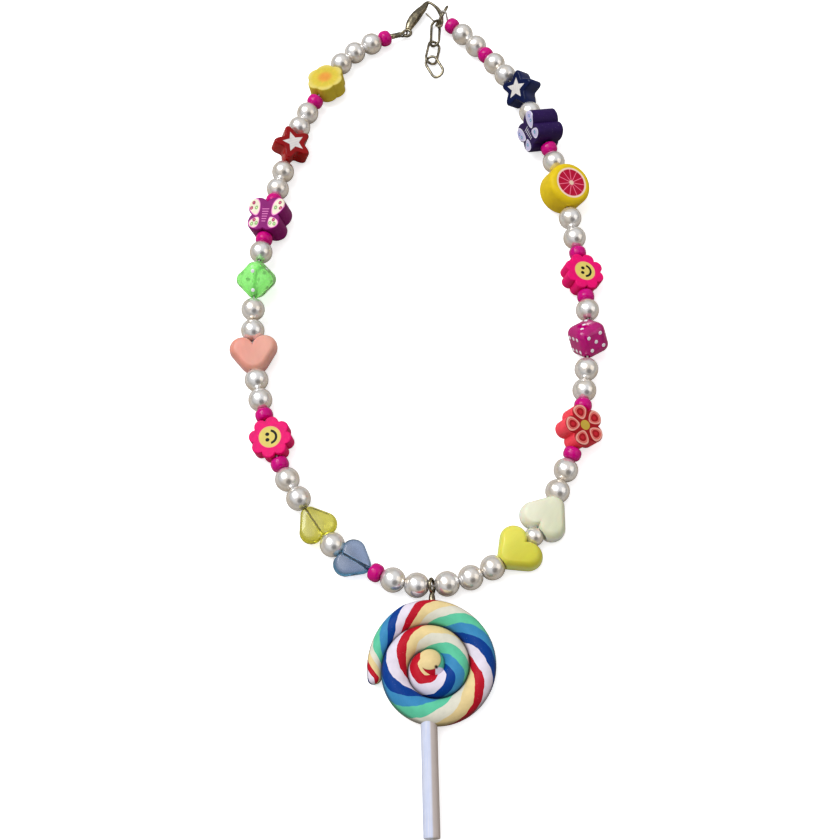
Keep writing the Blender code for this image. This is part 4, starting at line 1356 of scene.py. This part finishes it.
class NECKLACE_OT_flowers(bpy.types.Operator):
    """Set the yellow and the red flower"""

    bl_idname = "necklace.flowers"
    bl_label = "Flowers"

    def execute(self, context):
        colours = context.scene.necklace_colours
        outline = polar_outline(petal_reach(6, 2.6, 2.7), 150, math.radians(30))
        mat = clay("flower_yellow_clay", yellow_flower_paint(colours))
        add_charm("flower_yellow", slab(outline, charm_half("flower_yellow"), 0.5), mat)
        outline = polar_outline(petal_reach(5, 3.2, 2.2), 160)
        outline = [(x * 1.02 - 0.35, y * 1.02) for x, y in outline]
        mat = clay("flower_red_clay", red_flower_paint(colours))
        add_charm("flower_red", slab(outline, charm_half("flower_red"), 0.4), mat)
        return {"FINISHED"}


def pip_places(values):
    """A die's pips, each with Z out of its face; values are for +X, +Y, +Z, -X, -Y and -Z."""
    axes = (Vector((1, 0, 0)), Vector((0, 1, 0)), Vector((0, 0, 1)))
    places = []
    for number, value in enumerate(values):
        normal = axes[number % 3] * (1 if number < 3 else -1)
        first, second = axes[(number + 1) % 3], axes[(number + 2) % 3]
        turn = normal.to_track_quat("Z", "Y").to_matrix().to_4x4()
        for across, down in PIPS[value]:
            middle = normal * DIE_SIDE / 2 + (first * across + second * down) * PIP_SPACING
            places.append(Matrix.Translation(middle) @ turn)
    return places


class NECKLACE_OT_dice(bpy.types.Operator):
    """Set the green and the magenta die, each standing on a corner"""

    bl_idname = "necklace.dice"
    bl_label = "Dice"

    def execute(self, context):
        sizes, colours = context.scene.necklace_sizes, context.scene.necklace_colours
        corner = Vector((1.0, 1.0, 1.0)).normalized()
        stand = corner.rotation_difference(Vector((1.0, 0.0, 0.0))).to_matrix().to_4x4()
        paint = acrylic("pip_paint", plain(linear(236, 232, 236)), polish=0.3, flow=0.2)
        pip_radius = sizes.pip / MM / 2
        flat = Matrix.Diagonal((pip_radius, pip_radius, PIP_RISE, 1.0))
        for name, colour, clear, values in (
            ("die_green", colours.die_green, 0.6, (5, 4, 1, 2, 3, 6)),
            ("die_magenta", colours.die_magenta, 0.3, (4, 5, 6, 3, 2, 1)),
        ):
            shape = bmesh.new()
            bmesh.ops.create_cube(shape, size=DIE_SIDE)
            bmesh.ops.bevel(
                shape, geom=shape.edges[:], offset=DIE_ROUNDING, offset_type="OFFSET", segments=10,
                profile=0.5, affect="EDGES", material=-1
            )
            bmesh.ops.transform(shape, matrix=stand, verts=shape.verts[:])
            shape = drilled(shape, Matrix.Identity(4), sizes.bore / MM * 1.3)
            body_faces = len(shape.faces)
            for place in pip_places(values):
                bmesh.ops.create_uvsphere(
                    shape, u_segments=16, v_segments=8, radius=1.0, matrix=stand @ place @ flat
                )
            shape.faces.ensure_lookup_table()
            for face in shape.faces[body_faces:]:
                face.material_index = 1
            mat = acrylic(name + "_acrylic", plain(colour), polish=0.05, clear=clear)
            settle(
                shape, "fine_" + name, (mat, paint), "strand", (name,), charm_pose(name), sharp=60
            )
        return {"FINISHED"}


class NECKLACE_OT_solid_hearts(bpy.types.Operator):
    """Set the ivory, yellow and salmon hearts"""

    bl_idname = "necklace.solid_hearts"
    bl_label = "Solid hearts"

    def execute(self, context):
        colours = context.scene.necklace_colours
        # The last colour of each heart is its painted shade toward +Y.
        for name, half, colour, edge, side in (
            ("heart_ivory", 2.8, colours.ivory, linear(236, 240, 240), linear(214, 216, 184)),
            ("heart_yellow", 2.8, colours.lime, colours.lime_edge, linear(206, 200, 64)),
            ("heart_salmon", 2.9, colours.salmon, linear(232, 170, 166), linear(222, 148, 130)),
        ):
            paint = heart_paint(colour, edge, side, half)
            mat = acrylic(name + "_resin", paint, polish=0.16, flow=0.2, glow=0.3)
            add_charm(name, heart(name, puffed(half)), mat)
        return {"FINISHED"}


class NECKLACE_OT_clear_hearts(bpy.types.Operator):
    """Set the clear blue and the clear yellow heart"""

    bl_idname = "necklace.clear_hearts"
    bl_label = "Clear hearts"

    def execute(self, context):
        colours = context.scene.necklace_colours
        upper = ((0.45, 0.06), (1.0, 0.36), (1.6, 1.0), (1.7, 1.3), (1.7, 3.9))
        levels = [(-z, inset) for z, inset in reversed(upper)] + [(0.0, 0.0), *upper]
        for name, middle, rim in (
            ("heart_clear_blue", colours.clear_blue, linear(40, 104, 134)),
            ("heart_clear_yellow", colours.clear_yellow, linear(170, 162, 24)),
        ):
            mat = acrylic(name + "_glass", glass_paint(middle, rim), polish=0.02, clear=1.0, flow=0.4)
            add_charm(name, heart(name, levels), mat, bore=0.9)
        return {"FINISHED"}


def spiral_radius(angle):
    """How far the spiral's line lies from the head's middle at an angle of up to 90 degrees."""
    return HEAD_TOP_RADIUS - TURN_PITCH * (90 - angle) / 360


def rope_rings():
    """Sections of the rope from the tail's tip round and in to the core, and the stripes' turns at each."""
    line = []
    for angle in range(TAIL_SHOWN, CORE_ANGLE - 1, -ROPE_STEP):
        turn_radius = spiral_radius(min(angle, 90))
        thick = ROPE_D
        if angle > TAIL_FULL_ANGLE:
            share = (angle - TAIL_FULL_ANGLE) / (TAIL_ANGLE - TAIL_FULL_ANGLE)
            thick = ROPE_D + (TAIL_D - ROPE_D) * (1 - (1 - share) ** 1.6)
        if angle > 90:
            # The tail settles from its own circle to the turn inside it
            inner = spiral_radius(angle - 360) + TURN_PITCH / 2
            settled = min(1.0, (angle - 90) / 50)
            turn_radius = (1 - settled) * HEAD_TOP_RADIUS + settled * (inner + thick / 2)
        radian = math.radians(angle)
        height = max(HEAD_Z - (ROPE_D - thick) / 4, thick / 2)
        outward = Vector((math.cos(radian), math.sin(radian), 0.0))
        line.append((angle, spot(*HEAD_CENTRE, height) + outward * turn_radius, outward, thick / 2))
    angle, start, outward, radius = line[0]
    tip_way = (start - line[1][1]).normalized()
    rounding = ((1.15, 0.3), (1.0, 0.58), (0.7, 0.82), (0.35, 0.95))
    tip = [(angle, start + tip_way * reach, outward, radius * share) for reach, share in rounding]
    rings, turns = [], []
    for angle, middle, outward, radius in tip + line:
        ring = []
        for theta in around(ROPE_SPOKES):
            sideways = outward * math.sin(theta) * radius * ROPE_SWELL
            ring.append(middle + sideways + Vector((0, 0, math.cos(theta) * radius)))
        rings.append(ring)
        for (high, before), (low, after) in zip(TWIST, TWIST[1:]):
            if low <= angle <= high:
                turns.append(before + (after - before) * (high - angle) / (high - low))
                break
    return rings, turns


class NECKLACE_OT_lollipop(bpy.types.Operator):
    """Wind the striped rope into the lollipop's head, with its curled core"""

    bl_idname = "necklace.lollipop"
    bl_label = "Lollipop head"

    def execute(self, context):
        colours = context.scene.necklace_colours
        rings, turns = rope_rings()
        shape = loft(rings)
        spoke, row = shape.verts.layers.int["spoke"], shape.verts.layers.int["row"]
        mapped = shape.loops.layers.uv.new("rope")
        for face in shape.faces:
            numbers = [corner.vert[spoke] for corner in face.loops]
            wraps = max(numbers) - min(numbers) > ROPE_SPOKES / 2 and len(numbers) == 4
            for corner, number in zip(face.loops, numbers):
                if wraps and number < ROPE_SPOKES / 2:
                    number += ROPE_SPOKES
                corner[mapped].uv = (number / ROPE_SPOKES, turns[corner.vert[row]])
        rope_faces = len(shape.faces)
        centre = spot(*HEAD_CENTRE, (CORE_TOP + 0.5) / 2) + Vector((*CORE_SHIFT, 0.0))
        squat = Matrix.Diagonal((0.95, 1.0, (CORE_TOP - 0.5) / CORE_D, 1.0))
        bmesh.ops.create_uvsphere(
            shape, u_segments=48, v_segments=32, radius=CORE_D / 2,
            matrix=Matrix.Translation(centre) @ squat
        )
        shape.faces.ensure_lookup_table()
        for face in shape.faces[rope_faces:]:
            face.material_index = 1
        core = clay("lollipop_core", core_paint(colours, centre))
        settle(shape, "fine_head", (rope_material(colours), core), "pendant", ("head",))
        return {"FINISHED"}


class NECKLACE_OT_stick(bpy.types.Operator):
    """Make the lollipop's stick"""

    bl_idname = "necklace.stick"
    bl_label = "Stick"

    def execute(self, context):
        sizes, colours = context.scene.necklace_sizes, context.scene.necklace_colours
        radius = sizes.stick / MM / 2
        top, end = spot(STICK_X, STICK_TOP, HEAD_Z), spot(STICK_X + STICK_LEAN, STICK_END, HEAD_Z)
        line = [top.lerp(end, share) for share in (*[k / 40 for k in range(39)], 0.985, 0.995, 1.0)]
        shape = tube(line, [radius] * 40 + [radius * 0.985, radius * 0.92], 40)
        middle, lean = (top + end) / 2, (end.x - top.x) / (end.y - top.y)

        def paint(x, y, z):
            fibre = noise(join(x * 3.0, y * 0.12, z * 3.0), 1.2, 3.0)
            pale = blend(step(fibre, 0.35, 0.7), colours.stick, linear(214, 216, 230))
            # Painted shade: right of the line down the stick's middle, the colour turns warm grey-beige.
            centre = middle.x + (y - middle.y) * lean
            return blend(step(x - centre, 0.0, 0.5), pale, linear(192, 180, 174))

        paper = clay("stick_paper", paint, mottle=0.12)
        settle(shape, "fine_stick", (paper,), "pendant", ("stick",))
        return {"FINISHED"}


class NECKLACE_OT_eye_pin(bpy.types.Operator):
    """Hang the eye pin on the string"""

    bl_idname = "necklace.eye_pin"
    bl_label = "Eye pin"

    def execute(self, context):
        start, end = contacts_of("ring")
        centre = (start + end) / 2
        radius = (EYE_OUTER_D - EYE_WIRE_D) / 2
        turn = Matrix.Rotation(math.radians(EYE_TURN), 3, "Y")
        loop = ring_line(centre, turn @ Vector((0.0, 1.0, 0.0)), turn @ Vector((0.0, 0.0, 1.0)), radius, 48)
        shape = tube(loop, EYE_WIRE_D / 2 * 0.9, closed=True)
        end = Vector((centre.x, spot(0, EYE_NECK_END).y, HEAD_Z))
        neck = [(centre + Vector((0.0, -radius, 0.0))).lerp(end, k / 8) for k in range(9)]
        radii = [EYE_WIRE_D / 2 * 1.1, 0.62, 0.74] + [EYE_NECK_D / 2 * 0.92] * 6
        tube(neck, radii, 20, shape=shape)
        metal = metal_material(context.scene.necklace_colours)
        settle(shape, "fine_eye_pin", (metal,), "pendant", ("eye_pin",))
        return {"FINISHED"}


def jump_ring_frame():
    """The jump ring's middle, its normal, and a level and a rising direction in its plane."""
    normal = Vector(RING_NORMAL).normalized()
    level = Vector((normal.y, -normal.x, 0.0)).normalized()
    return spot(*RING_CENTRE), normal, level, level.cross(normal)


def string_loop():
    """The string's end: once round the jump ring's wire, then down to the first bead."""
    centre, normal, level, up = jump_ring_frame()
    hold = math.radians(STRING_HOLD_ANGLE)
    outward = level * math.cos(hold) + up * math.sin(hold)
    wire = centre + outward * RING_RADIUS
    loop = []
    for degrees in range(290, 30, -20):
        angle = math.radians(degrees)
        loop.append(wire + (outward * math.sin(angle) - normal * math.cos(angle)) * LOOP_D / 2)
    return loop


def link_line(upper, lower, roll, half_width):
    """An oblong link's line between its two ends, rolled about its length."""
    along = (lower - upper).normalized()
    flat = along.cross(Vector((0.0, 0.0, 1.0))).normalized()
    width = Matrix.Rotation(math.radians(roll), 3, along) @ flat
    straight = (lower - upper).length / 2 - half_width
    steps = 18
    points = []
    for sign in (1, -1):
        for k in range(steps + 1):
            angle = math.pi * k / steps
            lengthwise = sign * (straight + half_width * math.sin(angle))
            sideways = sign * half_width * math.cos(angle)
            points.append((upper + lower) / 2 + along * lengthwise + width * sideways)
    return points


def clasp_form():
    """The claw with its tapering tip, and the eye that the cord end's loop hangs in."""
    claw = curve_through(CLAW, 6)
    form = tube([spot(*place[:3]) for place in claw], [place[3] for place in claw], 28)
    first, second = Vector((1.0, 0.0, 0.1)).normalized(), Vector((0.0, 1.0, 0.0))
    eye = ring_line(spot(*CLASP_EYE), first, second, CLASP_EYE_RADIUS, 28)
    return tube(eye, CLASP_EYE_WIRE_D / 2, 14, closed=True, shape=form)


def cord_end_form():
    """The crimped tube on the string's end, with two pressed grooves, and its loop."""
    last, eye = contact_points()[-1], spot(*CLASP_EYE)
    heading = (eye - last).normalized()
    loop_centre = eye - heading * (CLASP_EYE_RADIUS + CORD_LOOP_RADIUS) / 2
    start, end = last + heading * 0.3, loop_centre - heading * (CORD_LOOP_RADIUS - 0.15)
    radii = [0.66, 0.8, 0.8, 0.8, 0.8, 0.72, 0.8, 0.8, 0.72, 0.8, 0.8, 0.78, 0.6]
    form = tube([start.lerp(end, k / 12) for k in range(13)], radii, 24)
    rising = heading.cross(Vector((0, 0, 1)).cross(heading)).normalized()
    loop = ring_line(loop_centre, heading, rising, CORD_LOOP_RADIUS, 28)
    return tube(loop, CORD_LOOP_WIRE_D / 2, 12, closed=True, shape=form)


class NECKLACE_OT_findings(bpy.types.Operator):
    """Make the clasp with its lever, the cord end, the jump ring and the extension chain"""

    bl_idname = "necklace.findings"
    bl_label = "Clasp and chain"

    def execute(self, context):
        metal = (metal_material(context.scene.necklace_colours),)
        centre, _, level, up = jump_ring_frame()
        form = tube(ring_line(centre, level, up, RING_RADIUS, 56), WIRE_D / 2, closed=True)
        settle(form, "fine_jump_ring", metal, "strand", ("jump_ring",))
        for number, (upper, lower, roll, half_width) in enumerate(LINKS, 1):
            name = f"chain_link_{number}"
            line = link_line(spot(*upper), spot(*lower), roll, half_width)
            form = tube(line, LINK_WIRE_D / 2, closed=True)
            settle(form, "fine_" + name, metal, "strand", (name,))
        settle(clasp_form(), "fine_clasp", metal, "strand", ("clasp",))
        form = tube([spot(*place) for place in curve_through(LEVER, 8)], LEVER_D / 2, 12)
        settle(form, "fine_clasp_lever", metal, "strand", ("clasp_lever",))
        settle(cord_end_form(), "fine_cord_end", metal, "strand", ("cord_end",))
        return {"FINISHED"}


class NECKLACE_PT_panel(bpy.types.Panel):
    """Lists the necklace's pieces"""

    bl_label = "Lollipop necklace"
    bl_idname = "NECKLACE_PT_panel"
    bl_space_type = "VIEW_3D"
    bl_region_type = "UI"
    bl_category = "Necklace"

    def draw(self, context):
        for maker in OPERATORS:
            self.layout.operator(maker.bl_idname)
        for group in (context.scene.necklace_sizes, context.scene.necklace_colours):
            box = self.layout.box()
            for name in group.bl_rna.properties.keys():
                if name not in ("rna_type", "name"):
                    box.prop(group, name)


OPERATORS = (
    NECKLACE_OT_stage,
    NECKLACE_OT_string,
    NECKLACE_OT_pearls,
    NECKLACE_OT_spacers,
    NECKLACE_OT_stars,
    NECKLACE_OT_butterflies,
    NECKLACE_OT_citrus,
    NECKLACE_OT_smileys,
    NECKLACE_OT_flowers,
    NECKLACE_OT_dice,
    NECKLACE_OT_solid_hearts,
    NECKLACE_OT_clear_hearts,
    NECKLACE_OT_lollipop,
    NECKLACE_OT_stick,
    NECKLACE_OT_eye_pin,
    NECKLACE_OT_findings,
)
CLASSES = (NecklaceSizes, NecklaceColours, *OPERATORS, NECKLACE_PT_panel)


def register():
    for made in CLASSES:
        bpy.utils.register_class(made)
    bpy.types.Scene.necklace_sizes = bpy.props.PointerProperty(type=NecklaceSizes)
    bpy.types.Scene.necklace_colours = bpy.props.PointerProperty(type=NecklaceColours)


def unregister():
    del bpy.types.Scene.necklace_colours
    del bpy.types.Scene.necklace_sizes
    for made in reversed(CLASSES):
        bpy.utils.unregister_class(made)


def main():
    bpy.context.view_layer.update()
    register()
    for maker in OPERATORS:
        group, name = maker.bl_idname.split(".")
        getattr(getattr(bpy.ops, group), name)()


if __name__ == "__main__":
    main()
